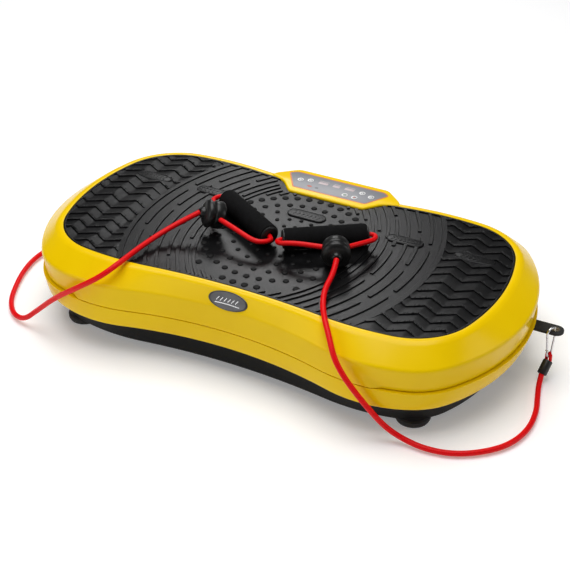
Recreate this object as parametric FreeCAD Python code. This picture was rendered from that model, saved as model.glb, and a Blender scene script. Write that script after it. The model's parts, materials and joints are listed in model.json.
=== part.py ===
import FreeCAD, Part
import math
import os

Vector = FreeCAD.Vector

# Vibration plate. Millimetres. Origin on the floor under the middle of the body,
# +X along the long side, +Y to the control panel, +Z up.

# ---------------------------------------------------------------- levels above the floor
FOOT_HEIGHT = 11.0
PAN_WALL = 3.0
PAN_TOP = 54.0
PAN_KNEE = 40.0
SHELL_BOTTOM = 43.0
PARTING = 70.0
CREASE = 102.0
RIM_SHOULDER = 122.5
RIM_TOP = 125.0
MAT_THICKNESS = 3.5
DECK_TOP = 118.0
DECK_THICKNESS = 3.0
PANEL_TOP = 126.5

# ---------------------------------------------------------------- plan outlines
# half length, half width at the waist, half width at the bulge,
# then the radii of the waist, shoulder, corner and end arcs
MAT_OUTLINE = (294.2, 134.5, 144.6, 960.0, 380.0, 85.0, 288.0)
CREASE_OUTLINE = (331.5, 153.5, 178.5, 500.0, 190.0, 85.0, 230.0)
WALL_OUTLINE = (332.0, 154.5, 178.2, 505.0, 200.0, 92.0, 230.0)
LOWER_OUTLINE = (322.7, 152.0, 176.5, 545.0, 150.0, 84.0, 238.0)
PAN_FLOOR_OUTLINE = (297.0, 139.0, 151.0, 900.0, 250.0, 75.0, 230.0)
RIM_WIDTH = 9.5
RIM_ROUND = 2.0
END_LEAN = 4.5
SHELL_WALL = 3.2
PAN_GAP = 9.0
FLANGE_WIDTH = 9.0

# ---------------------------------------------------------------- control panel
PANEL_X = 3.0
PANEL_FRONT = 110.0
PANEL_FRONT_HALF = 55.0
PANEL_REAR = 171.0
PANEL_REAR_HALF = 67.5
PANEL_FLANK = 148.0
PANEL_FLANK_HALF = 92.5
OVERLAY_THICKNESS = 1.2
OVERLAY_OUTLINE = [(-51.5, 120.5), (57, 120.5), (77.5, 155.5), (69, 162.5), (-63, 163.5), (-74, 156)]
KEY_PLACES = [(-50, 143), (-36.5, 147), (42, 146), (57, 141.5), (22.5, 131), (37, 130.5)]
KEY_RADIUS = 4.4
KEY_STEM_RADIUS = 2.5
KEY_TRAVEL = 0.5
BADGE_HALF = (27.0, 11.5)
WINDOWS = [(-17, 147, 14), (2.5, 147, 10), (22, 147.5, 14)]
WINDOW_DEPTH = 6.5
BOARD_HALF = 56.0
BOARD_Y = (128.6, 160.0)
BOARD_TOP = 118.5

# ---------------------------------------------------------------- rocking pivot
PIVOT_Z = 62.0
PIVOT_RADIUS = 8.0
RUNNING_GAP = 0.05
PIVOT_LENGTH = 212.0
RAIL_Y = 75.0
RAIL_WIDTH = 30.0
RAIL_HEIGHT = 18.0
RAIL_LENGTH = 470.0
RAIL_WALL = 2.0
BLOCK_Y = 93.0
BLOCK_THICKNESS = 16.0
BUSH_RADIUS = 11.0

# ---------------------------------------------------------------- crank drive
CRANK_X = 150.0
CRANK_Z = 54.0
CRANK_RADIUS = 6.0
CRANK_THROW = 3.93
ECCENTRIC_RADIUS = 9.5
CRANK_BEARING_RADIUS = 14.0
CRANK_BLOCK_Y = 40.0
DRIVEN_RADIUS = 30.0
MOTOR_X = 232.0
MOTOR_RADIUS = 30.0
MOTOR_PULLEY_RADIUS = 10.0
MOTOR_SHAFT_RADIUS = 4.0
PULLEY_Y = 74.0
BELT_WIDTH = 11.0
BELT_THICKNESS = 2.5
BELT_GAP = 0.3
FLANGE_EXTRA = 3.0
FLANGE_THICKNESS = 2.0

# ---------------------------------------------------------------- feet and base plate
FOOT_X = 236.0
FOOT_Y = 122.0
FOOT_RADIUS = 22.0
BASE_PLATE = (500.0, 196.0, 2.0)
PLATE_TOP = FOOT_HEIGHT + PAN_WALL + BASE_PLATE[2]
BUMPER_X = 260.0
BUMPER_Y = 88.0
BUMPER_TOP = 107.0

# ---------------------------------------------------------------- rear inlet and switch
INLET_X = -20.0
SWITCH_X = 26.0
HOUSING_Y = 158.0
HOUSING_Z = (14.0, 40.0)
INLET_Z = 27.0
ROCKER_Y = 157.0
ROCKER_PIN = 1.2

# ---------------------------------------------------------------- cord anchors
TAB_Y = 40.0
TAB_Z = 65.0
TAB_THICKNESS = 3.0
TAB_HALF_WIDTH = 10.0
EYELET_X = 354.5
EYELET_HOLE = 2.8
CLIP_WIRE = 1.4
CLIP_TOP_RADIUS = 7.0
CLIP_LOW_RADIUS = 3.2
CLIP_TOP_Z = 65.5
CLIP_LOW_Z = 33.5
GATE_SPAN = (0.14, 0.78)
CLIP_TURN = math.degrees(math.atan2(-0.88, -0.48))
SLEEVE_RADIUS = 6.2

# ---------------------------------------------------------------- handles and cords
CORD_DIAMETER = 7.0
FOAM_RADIUS = 14.0
TUBE_RADIUS = 6.0
TUBE_BORE = 4.5
CAP_RADIUS = 12.3
CAP_THICKNESS = 3.0
HANDLE_Z = RIM_TOP + FOAM_RADIUS + 0.6
HUB_RADIUS = 18.0
HUB_WIDTH = 15.0
DOME_RADIUS = 18.5
DOME_WIDTH = 10.0
NOSE_RADIUS = 5.5
NOSE_LENGTH = 6.0

# handle axis ends, connector centre and the way its nose points
LEFT_HANDLE = ((-103.0, 31.0), (-5.3, -30.1))
RIGHT_HANDLE = ((11.0, -30.0), (102.6, 32.3))
LEFT_CONNECTOR = ((-85.5, -24.0, 146.6), (-0.70, -0.62, 0.30))
RIGHT_CONNECTOR = ((85.6, -28.0, 144.6), (0.46, -0.888, 0.0))

# points of each free cord, from the connector's nose to the anchor sleeve
LEFT_ROUTE = [
    (-102.4, -39.0, 153.6), (-122.6, -58.5, 143.0), (-140.5, -92.0, 133.0), (-145.1, -131.6, 132.0),
    (-147.2, -162.5, 131.5), (-161.2, -185.0, 120.0), (-193.0, -190.0, 98.0), (-235.4, -182.1, 66.0),
    (-274.5, -174.0, 29.0), (-296.0, -176.0, 9.0), (-321.1, -167.5, 5.2), (-343.9, -142.5, 5.2),
    (-359.9, -109.9, 5.2), (-372.9, -75.9, 5.2), (-380.0, -41.9, 5.2), (-378.0, -12.0, 5.4),
    (-369.0, 8.0, 7.0), (-360.5, 21.5, 11.5)]
RIGHT_ROUTE = [
    (96.7, -49.5, 144.6), (102.2, -68.0, 138.0), (104.5, -97.0, 132.0), (115.5, -126.2, 132.5),
    (130.0, -152.0, 132.0), (147.4, -173.8, 123.0), (161.0, -189.0, 107.0), (176.0, -193.0, 88.0),
    (190.0, -190.0, 68.0), (208.0, -186.0, 45.0), (224.0, -178.0, 22.0), (244.5, -172.4, 8.0),
    (273.4, -174.2, 5.2), (305.5, -168.2, 5.2), (334.5, -149.4, 5.2), (357.5, -122.8, 5.2),
    (368.1, -86.7, 5.2), (366.0, -49.6, 5.2), (357.1, -18.8, 5.2), (350.7, 4.7, 6.6),
    (348.5, 20.5, 11.0)]

# points of each handle's loop, from one side of the connector through the grip to the other
LEFT_LOOP = [
    (-96.0, -12.5, 149.0), (-108.7, 4.8, 145.0), (-116.5, 19.5, 141.0), (-110.5, 35.7, HANDLE_Z),
    (-79.8, 16.9, HANDLE_Z), (-32.6, -12.6, HANDLE_Z), (0.2, -33.5, HANDLE_Z),
    (-3.0, -43.5, 139.6), (-10.5, -50.5, 140.5), (-21.0, -51.5, 142.0),
    (-38.0, -47.5, 145.0), (-57.0, -42.0, 147.5), (-75.5, -35.5, 148.5)]
RIGHT_LOOP = [
    (70.3, -35.0, 147.5), (50.0, -39.0, 147.5), (31.0, -43.0, 146.5), (14.5, -47.0, 143.5),
    (5.9, -33.5, HANDLE_Z), (35.8, -12.7, HANDLE_Z), (77.8, 15.8, HANDLE_Z), (108.9, 36.6, HANDLE_Z),
    (117.5, 22.0, 141.5), (112.0, 4.5, 145.0), (99.3, -19.0, 147.5)]
LOOP_DIAMETER = 6.4


# ================================================================ helpers
def save(name, *shapes):
    """Writes one node; several solids in a node are a group of separate pieces."""
    shape = shapes[0] if len(shapes) == 1 else Part.makeCompound(list(shapes))
    assert shape.isValid(), name
    shape.exportStep(os.path.join("parts", name + ".step"))


def box(x0, x1, y0, y1, z0, z1):
    return Part.makeBox(x1 - x0, y1 - y0, z1 - z0, Vector(x0, y0, z0))


def cylinder(radius, start, end):
    start, end = Vector(*start), Vector(*end)
    return Part.makeCylinder(radius, (end - start).Length, start, end - start)


def disc(radius, x, y, z0, z1):
    return cylinder(radius, (x, y, z0), (x, y, z1))


def drum(radius, x, z, y0, y1):
    return cylinder(radius, (x, y0, z), (x, y1, z))


def ring(outer, inner, x, z, y0, y1):
    return drum(outer, x, z, y0, y1).cut(drum(inner, x, z, y0 - 1, y1 + 1))


def prism(points, z0, z1):
    corners = [Vector(x, y, z0) for x, y in points]
    face = Part.Face(Part.makePolygon(corners + corners[:1]))
    return face.extrude(Vector(0, 0, z1 - z0))


def mirrored_y(points):
    """Left half of a list of points, mirrored and added in reverse."""
    return points + [(-x, y) for x, y in reversed(points)]


def fuse(shapes):
    return shapes[0].multiFuse(list(shapes[1:])).removeSplitter()


def circle_meeting(c1, r1, c2, r2):
    """The meeting point of two circles that lies on the +Y side."""
    dx, dy = c2[0] - c1[0], c2[1] - c1[1]
    gap = math.hypot(dx, dy)
    along = (gap * gap + r1 * r1 - r2 * r2) / (2 * gap)
    across = math.sqrt(r1 * r1 - along * along)
    ux, uy = dx / gap, dy / gap
    options = [(c1[0] + along * ux - side * across * uy, c1[1] + along * uy + side * across * ux)
               for side in (1, -1)]
    return max(options, key=lambda p: p[0] + p[1])


def outline(sizes, z, inset=0.0):
    """Closed peanut-shaped wire of twelve tangent arcs, the same in all four quadrants."""
    end, waist, bulge = (size - inset for size in sizes[:3])
    waist_r = sizes[3] + inset
    shoulder_r, corner_r, end_r = (size - inset for size in sizes[4:])
    waist_c = (0.0, waist + waist_r)
    shoulder_y = bulge - shoulder_r
    shoulder_c = (math.sqrt((waist_r + shoulder_r) ** 2 - (waist_c[1] - shoulder_y) ** 2), shoulder_y)
    end_c = (end - end_r, 0.0)
    corner_c = circle_meeting(shoulder_c, shoulder_r - corner_r, end_c, end_r - corner_r)

    def on(centre, towards, radius):
        dx, dy = towards[0] - centre[0], towards[1] - centre[1]
        reach = radius / math.hypot(dx, dy)
        return (centre[0] + dx * reach, centre[1] + dy * reach)

    def middle(centre, a, b, radius):
        return on(centre, ((a[0] + b[0]) / 2, (a[1] + b[1]) / 2), radius)

    p1 = on(shoulder_c, waist_c, shoulder_r)
    p2 = on(corner_c, (2 * corner_c[0] - shoulder_c[0], 2 * corner_c[1] - shoulder_c[1]), corner_r)
    p3 = on(corner_c, (2 * corner_c[0] - end_c[0], 2 * corner_c[1] - end_c[1]), corner_r)
    m12 = middle(shoulder_c, p1, p2, shoulder_r)
    m23 = middle(corner_c, p2, p3, corner_r)

    def at(point, sx, sy):
        return Vector(point[0] * sx, point[1] * sy, z)

    edges = []

    def arc(a, b, c):
        edges.append(Part.Arc(a, b, c).toShape())

    for sx, sy in ((1, 1), (-1, -1)):
        arc(at(p1, sx, sy), at(m12, sx, sy), at(p2, sx, sy))
        arc(at(p2, sx, sy), at(m23, sx, sy), at(p3, sx, sy))
        arc(at(p3, sx, sy), at((end, 0), sx, sy), at(p3, sx, -sy))
        arc(at(p3, sx, -sy), at(m23, sx, -sy), at(p2, sx, -sy))
        arc(at(p2, sx, -sy), at(m12, sx, -sy), at(p1, sx, -sy))
        arc(at(p1, sx, -sy), at((0, waist), sx, -sy), at(p1, -sx, -sy))
    return Part.Wire(edges)


def stack(sections):
    """Solid through (outline sizes, height, inset) sections."""
    return Part.makeLoft([outline(sizes, z, inset) for sizes, z, inset in sections], True, True)


def plate(sizes, z0, z1, inset=0.0):
    return Part.Face(outline(sizes, z0, inset)).extrude(Vector(0, 0, z1 - z0))


def tube_path(points):
    """Straight runs joined by tangent arcs, and the list of arc radii."""
    points = [Vector(*p) for p in points]
    edges, radii = [], []
    start = points[0]
    for before, here, after in zip(points, points[1:], points[2:]):
        back, ahead = before - here, after - here
        turn = math.pi - back.getAngle(ahead)
        reach = 0.45 * min(back.Length, ahead.Length)
        radius = reach / math.tan(turn / 2)
        back.normalize()
        ahead.normalize()
        a, b = here + back * reach, here + ahead * reach
        bisector = back + ahead
        bisector.normalize()
        centre = here + bisector * (radius / math.cos(turn / 2))
        edges.append(Part.LineSegment(start, a).toShape())
        edges.append(Part.Arc(a, centre - bisector * radius, b).toShape())
        radii.append(radius)
        start = b
    edges.append(Part.LineSegment(start, points[-1]).toShape())
    return Part.Wire(edges), radii


def cord(name, points, diameter=CORD_DIAMETER):
    """Tube of one diameter along the route."""
    path, radii = tube_path(points)
    first = Vector(*points[1]) - Vector(*points[0])
    profile = Part.Wire(Part.makeCircle(diameter / 2, Vector(*points[0]), first))
    tube = path.makePipeShell([profile], True, False)
    expected = math.pi * diameter ** 2 / 4 * path.Length
    print(f"{name}: length {path.Length:.1f}, volume ratio {tube.Volume / expected:.4f}, radii",
          " ".join(f"{r:.0f}" for r in radii))
    return tube


# ================================================================ base: pan, plate and feet
def four_corners(make):
    return [make(sx * FOOT_X, sy * FOOT_Y) for sx in (-1, 1) for sy in (-1, 1)]


def rear_hole(x, half_width, half_height):
    return box(x - half_width, x + half_width, HOUSING_Y - 4, HOUSING_Y + 1,
               INLET_Z - half_height, INLET_Z + half_height)


def base_pan():
    outside = stack([(PAN_FLOOR_OUTLINE, FOOT_HEIGHT, 0), (PAN_FLOOR_OUTLINE, FOOT_HEIGHT + 3, -2),
                     (LOWER_OUTLINE, PAN_KNEE, PAN_GAP), (LOWER_OUTLINE, PAN_TOP, PAN_GAP)])
    inside = stack([(PAN_FLOOR_OUTLINE, FOOT_HEIGHT + PAN_WALL, 3),
                    (LOWER_OUTLINE, PAN_KNEE, PAN_GAP + PAN_WALL),
                    (LOWER_OUTLINE, PAN_TOP + 1, PAN_GAP + PAN_WALL)])
    housing = box(-46, 46, 130, HOUSING_Y, *HOUSING_Z)
    hollow = box(-43, 43, 120, HOUSING_Y - 2.5, HOUSING_Z[0] + 2.5, HOUSING_Z[1] - 2.5)
    bosses = four_corners(lambda x, y: disc(20, x, y, FOOT_HEIGHT, FOOT_HEIGHT + 11))
    pan = fuse([outside.cut(inside), housing] + bosses).cut(hollow)
    z0 = FOOT_HEIGHT - 1
    inlet_hole = rear_hole(INLET_X, 13.6, 9.8)
    switch_hole = rear_hole(SWITCH_X, 9.6, 6.6)
    screw_holes = four_corners(lambda x, y: disc(2.0, x, y, z0, FOOT_HEIGHT + 9))
    vents = [box(x - 1.5, x + 1.5, -60, -25, z0, FOOT_HEIGHT + 4) for x in range(-210, -109, 10)]
    for tool in [inlet_hole, switch_hole] + screw_holes + vents:
        pan = pan.cut(tool)
    return pan


def base_plate():
    length, width, thickness = BASE_PLATE
    z0 = FOOT_HEIGHT + PAN_WALL
    sheet = box(-length / 2, length / 2, -width / 2, width / 2, z0, z0 + thickness)
    sheet = sheet.makeFillet(20, [e for e in sheet.Edges if abs(e.Length - thickness) < 0.01])
    return sheet.cut(box(-216, -104, -66, -19, z0 - 1, z0 + thickness + 1))


def foot(x, y):
    profile = [(0, 0), (17.5, 0), (20.5, 1.5), (22, 5), (22, 9), (20, FOOT_HEIGHT), (0, FOOT_HEIGHT)]
    body = turned(profile, x, y)
    return body.cut(disc(5.0, x, y, -1, 5)).cut(disc(2.0, x, y, 4, FOOT_HEIGHT + 1))


def turned(profile, x, y):
    """Solid of revolution about a vertical axis from (radius, height) points."""
    corners = [Vector(r, 0, z) for r, z in profile]
    body = Part.Face(Part.makePolygon(corners + corners[:1])).revolve(Vector(0, 0, 0), Vector(0, 0, 1), 360)
    body.translate(Vector(x, y, 0))
    return body


def foot_screw(x, y):
    return disc(4.5, x, y, 2.0, 5.0).fuse(disc(1.95, x, y, 5.0, FOOT_HEIGHT + 8)).removeSplitter()


# ================================================================ base: pivot and crank supports
def pillow_block(y):
    z0 = PLATE_TOP
    foot_flange = box(-38, 38, y - BLOCK_THICKNESS / 2, y + BLOCK_THICKNESS / 2, z0, z0 + 6)
    web = box(-20, 20, y - BLOCK_THICKNESS / 2, y + BLOCK_THICKNESS / 2, z0, PIVOT_Z)
    head = drum(20, 0, PIVOT_Z, y - BLOCK_THICKNESS / 2, y + BLOCK_THICKNESS / 2)
    return fuse([foot_flange, web, head]).cut(drum(BUSH_RADIUS, 0, PIVOT_Z, y - 20, y + 20))


def pivot_bush(y):
    return ring(BUSH_RADIUS, PIVOT_RADIUS + RUNNING_GAP, 0, PIVOT_Z, y - 9, y + 9)


def crank_block(y):
    web = box(CRANK_X - 22, CRANK_X + 22, y - 7, y + 7, PLATE_TOP, CRANK_Z)
    head = drum(22, CRANK_X, CRANK_Z, y - 7, y + 7)
    return fuse([web, head]).cut(drum(CRANK_BEARING_RADIUS, CRANK_X, CRANK_Z, y - 10, y + 10))


def crank_bearing(y):
    return ring(CRANK_BEARING_RADIUS, CRANK_RADIUS + RUNNING_GAP, CRANK_X, CRANK_Z, y - 6, y + 6)


def block_screws():
    places = [(sx * 30, sy * BLOCK_Y) for sx in (-1, 1) for sy in (-1, 1)]
    z0 = PLATE_TOP + 6
    return [disc(4, x, y, z0, z0 + 4) for x, y in places]


def end_bumper(x, y):
    """Rubber stop that the deck plate just clears at its lowest."""
    z0 = FOOT_HEIGHT + PAN_WALL
    return turned([(0, z0), (11, z0), (9, 70), (7, BUMPER_TOP), (0, BUMPER_TOP)], x, y)


# ================================================================ base: motor, belt, board, inlet
def motor_can():
    return ring(MOTOR_RADIUS, MOTOR_RADIUS - 2.5, MOTOR_X, CRANK_Z, -60, 34)


def motor_bell(y0, y1, boss):
    bell = fuse([drum(MOTOR_RADIUS, MOTOR_X, CRANK_Z, y0, y1), drum(9, MOTOR_X, CRANK_Z, *boss)])
    return bell.cut(drum(MOTOR_SHAFT_RADIUS + RUNNING_GAP, MOTOR_X, CRANK_Z, -90, 90))


def motor_magnet(side):
    shell = ring(MOTOR_RADIUS - 2.5, 23.0, MOTOR_X, CRANK_Z, -48, 24)
    gap = box(MOTOR_X - 12, MOTOR_X + 12, -50, 26, CRANK_Z - 40, CRANK_Z + 40)
    x0, x1 = sorted((MOTOR_X, MOTOR_X + side * 40))
    half = box(x0, x1, -50, 26, CRANK_Z - 40, CRANK_Z + 40)
    return shell.cut(gap).common(half)


def motor_saddle(y):
    block = box(MOTOR_X - 28, MOTOR_X + 20, y - 5, y + 5, PLATE_TOP, CRANK_Z - 14)
    return block.cut(drum(MOTOR_RADIUS, MOTOR_X, CRANK_Z, y - 8, y + 8))


def belt_face(extra):
    """Face inside the open loop round both pulleys, grown by extra."""
    big, small = DRIVEN_RADIUS + extra, MOTOR_PULLEY_RADIUS + extra
    reach = MOTOR_X - CRANK_X
    lean = math.asin((big - small) / reach)
    sin_l, cos_l = math.sin(lean), math.cos(lean)

    def at(cx, radius, side):
        return Vector(cx + radius * sin_l, 0, CRANK_Z + side * radius * cos_l)

    a, b = at(CRANK_X, big, 1), at(MOTOR_X, small, 1)
    c, d = at(MOTOR_X, small, -1), at(CRANK_X, big, -1)
    edges = [Part.makeLine(a, b), Part.Arc(b, Vector(MOTOR_X + small, 0, CRANK_Z), c).toShape(),
             Part.makeLine(c, d), Part.Arc(d, Vector(CRANK_X - big, 0, CRANK_Z), a).toShape()]
    return Part.Face(Part.Wire(edges))


def drive_belt():
    def loop(extra, y0, y1):
        face = belt_face(extra)
        face.translate(Vector(0, y0, 0))
        return face.extrude(Vector(0, y1 - y0, 0))

    y0, y1 = PULLEY_Y - BELT_WIDTH / 2, PULLEY_Y + BELT_WIDTH / 2
    return loop(BELT_GAP + BELT_THICKNESS, y0, y1).cut(loop(BELT_GAP, y0 - 1, y1 + 1))


def board_standoffs():
    places = [(x, y) for x in (-196, -114) for y in (15, 75)]
    return [disc(3.5, x, y, PLATE_TOP, PLATE_TOP + 8) for x, y in places]


def driver_board():
    return box(-202, -108, 9, 81, PLATE_TOP + 8, PLATE_TOP + 9.6)


def board_parts():
    z0 = PLATE_TOP + 9.6
    heat_sink = fuse([box(-192, -187, 22, 68, z0, z0 + 26)] +
                     [box(-187, -175, y, y + 2, z0, z0 + 26) for y in range(22, 67, 8)])
    capacitors = [disc(8, -162, y, z0, z0 + 24) for y in (28, 50)]
    relay = box(-148, -128, 20, 36, z0, z0 + 16)
    terminal = box(-146, -116, 62, 72, z0, z0 + 12)
    return [heat_sink] + capacitors + [relay, terminal]


def power_inlet():
    y1 = HOUSING_Y + 2
    flange = box(INLET_X - 16, INLET_X + 16, HOUSING_Y, y1, INLET_Z - 12, INLET_Z + 12)
    body = box(INLET_X - 13.4, INLET_X + 13.4, HOUSING_Y - 18, HOUSING_Y, INLET_Z - 9.6, INLET_Z + 9.6)
    recess = box(INLET_X - 11.8, INLET_X + 11.8, HOUSING_Y - 14, y1 + 1, INLET_Z - 8.0, INLET_Z + 8.0)
    return flange.fuse(body).removeSplitter().cut(recess)


def inlet_pins():
    places = [(-7, -2.0), (0, 2.5), (7, -2.0)]
    y0, y1 = HOUSING_Y - 14, HOUSING_Y - 2
    return [box(INLET_X + x - 1, INLET_X + x + 1, y0, y1, INLET_Z + z - 2, INLET_Z + z + 2)
            for x, z in places]


def switch_frame():
    y1 = HOUSING_Y + 2
    flange = box(SWITCH_X - 11, SWITCH_X + 11, HOUSING_Y, y1, INLET_Z - 8, INLET_Z + 8)
    body = box(SWITCH_X - 9.4, SWITCH_X + 9.4, HOUSING_Y - 14, HOUSING_Y, INLET_Z - 6.4, INLET_Z + 6.4)
    well = box(SWITCH_X - 8.2, SWITCH_X + 8.2, HOUSING_Y - 11, y1 + 1, INLET_Z - 5.2, INLET_Z + 5.2)
    pin_hole = disc(ROCKER_PIN + 0.3, SWITCH_X, ROCKER_Y, INLET_Z - 6.2, INLET_Z + 6.2)
    return flange.fuse(body).removeSplitter().cut(well).cut(pin_hole)


def switch_rocker():
    """Paddle that stands proud on its OFF side; it turns about Z on its own round pin."""
    points = [(-6.6, 0.5), (0, 1.2), (6.6, 4.2), (6.0, -1.5), (0, -5.5), (-6.0, -4.5)]
    paddle = prism([(SWITCH_X + x, HOUSING_Y + y) for x, y in points], INLET_Z - 4.9, INLET_Z + 4.9)
    return paddle.fuse(disc(ROCKER_PIN, SWITCH_X, ROCKER_Y, INLET_Z - 5.9, INLET_Z + 5.9)).removeSplitter()


# ================================================================ platform: shells
def panel_plan(grow=0.0):
    """Right half first: rear edge, flank and front edge of the raised panel housing."""
    half = [(PANEL_REAR_HALF + grow * 0.6, PANEL_REAR + grow),
            (PANEL_FLANK_HALF + grow, PANEL_FLANK + grow * 0.4),
            (74 + grow, 132.0),
            (PANEL_FRONT_HALF + 4 + grow, 114.0),
            (PANEL_FRONT_HALF + grow * 0.6, PANEL_FRONT - grow)]
    return [(PANEL_X + x, y) for x, y in mirrored_y(half)]


def top_cover():
    lean = stack([(WALL_OUTLINE, PARTING, END_LEAN), (CREASE_OUTLINE, CREASE, 0),
                  (MAT_OUTLINE, RIM_SHOULDER, -RIM_WIDTH), (MAT_OUTLINE, RIM_TOP, -RIM_WIDTH + RIM_ROUND)])
    upright = stack([(WALL_OUTLINE, PARTING, 0), (CREASE_OUTLINE, CREASE, 0)])
    corners = ((165, CREASE), (207, PARTING), (-207, PARTING), (-165, CREASE))
    waist_zone = [Vector(x, 0, z) for x, z in corners]
    slab = Part.Face(Part.makePolygon(waist_zone + waist_zone[:1]))
    slab.translate(Vector(0, -200, 0))
    middle = upright.common(slab.extrude(Vector(0, 400, 0)))
    hump = prism(panel_plan(), CREASE - 2, PANEL_TOP)
    rear = Part.makeLoft([wire_of(rear_plan(152, 60), PARTING), wire_of(rear_plan(171, 69), CREASE - 2),
                          wire_of(rear_plan(171, 69), CREASE + 4)], True, True)
    outside = fuse([lean, middle, hump, rear])
    hollow = stack([(WALL_OUTLINE, PARTING - 1, END_LEAN + SHELL_WALL),
                    (CREASE_OUTLINE, CREASE, SHELL_WALL),
                    (MAT_OUTLINE, DECK_TOP, -4)])
    pocket = plate(MAT_OUTLINE, RIM_TOP - MAT_THICKNESS, RIM_TOP + 5, 0).cut(prism(panel_plan(), 100, 140))
    board_bay = prism([(x * 0.93, y) for x, y in rear_plan(166, 62)], CREASE - 8, PANEL_TOP - 4.0)
    cover = outside.cut(hollow).cut(pocket).cut(board_bay)
    cover = cover.cut(prism(OVERLAY_OUTLINE, PANEL_TOP - OVERLAY_THICKNESS + 0.3, PANEL_TOP + 2))
    for x, y in KEY_PLACES:
        cover = cover.cut(disc(KEY_STEM_RADIUS + 0.5, x, y, 110, PANEL_TOP + 2))
    posts = [disc(2.5, sx * (BOARD_HALF - 3.5), y, BOARD_TOP, PANEL_TOP - 3) for sx in (-1, 1)
             for y in (BOARD_Y[0] + 3.5, BOARD_Y[1] - 3.5)]
    return fuse([cover] + posts)


def rear_plan(rear, half):
    return mirrored_y([(half, rear), (half + 16, 148.0), (half + 4, 128.0)])


def wire_of(points, z):
    corners = [Vector(x, y, z) for x, y in points]
    return Part.makePolygon(corners + corners[:1])


def lower_shell():
    outside = stack([(LOWER_OUTLINE, SHELL_BOTTOM, 0), (WALL_OUTLINE, PARTING, 0)])
    hollow = stack([(LOWER_OUTLINE, SHELL_BOTTOM, SHELL_WALL),
                    (WALL_OUTLINE, PARTING, END_LEAN + SHELL_WALL)])
    shell = outside.cut(hollow)
    for side in (-1, 1):
        x0, x1 = sorted((side * 300, side * 340))
        slot = box(x0, x1, TAB_Y - TAB_HALF_WIDTH - 0.3, TAB_Y + TAB_HALF_WIDTH + 0.3,
                   TAB_Z - 0.3, TAB_Z + TAB_THICKNESS + 0.3)
        shell = shell.cut(slot)
    return shell


def anti_slip_mat():
    mat = plate(MAT_OUTLINE, RIM_TOP - MAT_THICKNESS, RIM_TOP, 0.3)
    return mat.cut(prism(panel_plan(0.4), 100, 140))


# ================================================================ platform: deck and drive end
def deck_plate():
    sheet = box(-262, 262, -112, 112, DECK_TOP - DECK_THICKNESS, DECK_TOP)
    return sheet.makeFillet(20, [e for e in sheet.Edges if abs(e.Length - DECK_THICKNESS) < 0.01])


def deck_rail(y):
    z1 = DECK_TOP - DECK_THICKNESS
    half = RAIL_LENGTH / 2
    outer = box(-half, half, y - RAIL_WIDTH / 2, y + RAIL_WIDTH / 2, z1 - RAIL_HEIGHT, z1)
    inner = box(-half - 1, half + 1, y - RAIL_WIDTH / 2 + RAIL_WALL, y + RAIL_WIDTH / 2 - RAIL_WALL,
                z1 - RAIL_HEIGHT + RAIL_WALL, z1 - RAIL_WALL)
    return outer.cut(inner)


def pivot_lug(y):
    z1 = DECK_TOP - DECK_THICKNESS - RAIL_HEIGHT
    web = box(-18, 18, y - 4, y + 4, PIVOT_Z, z1)
    head = drum(18, 0, PIVOT_Z, y - 4, y + 4)
    top = box(-34, 34, y - 12, y + 12, z1 - 5, z1)
    return fuse([web, head, top]).cut(drum(PIVOT_RADIUS, 0, PIVOT_Z, y - 10, y + 10))


def crank_yoke():
    outer = box(CRANK_X - 31, CRANK_X + 31, -6, 6, CRANK_Z - 28.5, DECK_TOP - DECK_THICKNESS)
    window = box(CRANK_X - 24.5, CRANK_X + 24.5, -7, 7, CRANK_Z - 22.5, CRANK_Z + 22.5)
    top = box(CRANK_X - 31, CRANK_X + 31, -22, 22, DECK_TOP - DECK_THICKNESS - 5, DECK_TOP - DECK_THICKNESS)
    return outer.fuse(top).removeSplitter().cut(window)


# ================================================================ platform: panel and badge
def panel_overlay():
    z0, z1 = PANEL_TOP - OVERLAY_THICKNESS + 0.3, PANEL_TOP + 0.3
    sheet = prism([(x * 0.996, y) for x, y in OVERLAY_OUTLINE], z0, z1)
    for x, y in KEY_PLACES:
        sheet = sheet.cut(disc(KEY_RADIUS + 0.4, x, y, z0 - 1, z1 + 1))
    for window in window_boxes(z0 - 1, z1 + 1):
        sheet = sheet.cut(window)
    return sheet


def window_boxes(z0, z1):
    return [box(x - length / 2, x + length / 2, y - WINDOW_DEPTH / 2, y + WINDOW_DEPTH / 2, z0, z1)
            for x, y, length in WINDOWS]


def display_board():
    """Board that hangs from the four posts under the panel."""
    return box(-BOARD_HALF, BOARD_HALF, *BOARD_Y, BOARD_TOP - 1.5, BOARD_TOP)


def panel_key(x, y):
    z_cap = PANEL_TOP + 0.2 - OVERLAY_THICKNESS + 0.3 + KEY_TRAVEL
    cap = disc(KEY_RADIUS, x, y, z_cap, PANEL_TOP + 0.9)
    stem = disc(KEY_STEM_RADIUS, x, y, PANEL_TOP - 7.0, z_cap)
    return cap.fuse(stem).removeSplitter()


def badge():
    """Oval plate lying on the sloping front band."""
    stretch = FreeCAD.Matrix(BADGE_HALF[0], 0, 0, 0, 0, BADGE_HALF[1], 0, 0, 0, 0, 1, 0, 0, 0, 0, 1)
    oval = disc(1.0, 0, 0, 0, 1.4).transformGeometry(stretch)
    drop, run = CREASE - RIM_SHOULDER, CREASE_OUTLINE[1] - MAT_OUTLINE[1] - RIM_WIDTH
    slope = math.degrees(math.atan2(-drop, run))
    oval.rotate(Vector(0, 0, 0), Vector(1, 0, 0), slope)
    middle = Vector(0, -(CREASE_OUTLINE[1] + MAT_OUTLINE[1] + RIM_WIDTH) / 2, (CREASE + RIM_SHOULDER) / 2)
    oval.translate(middle)
    return oval


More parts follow.
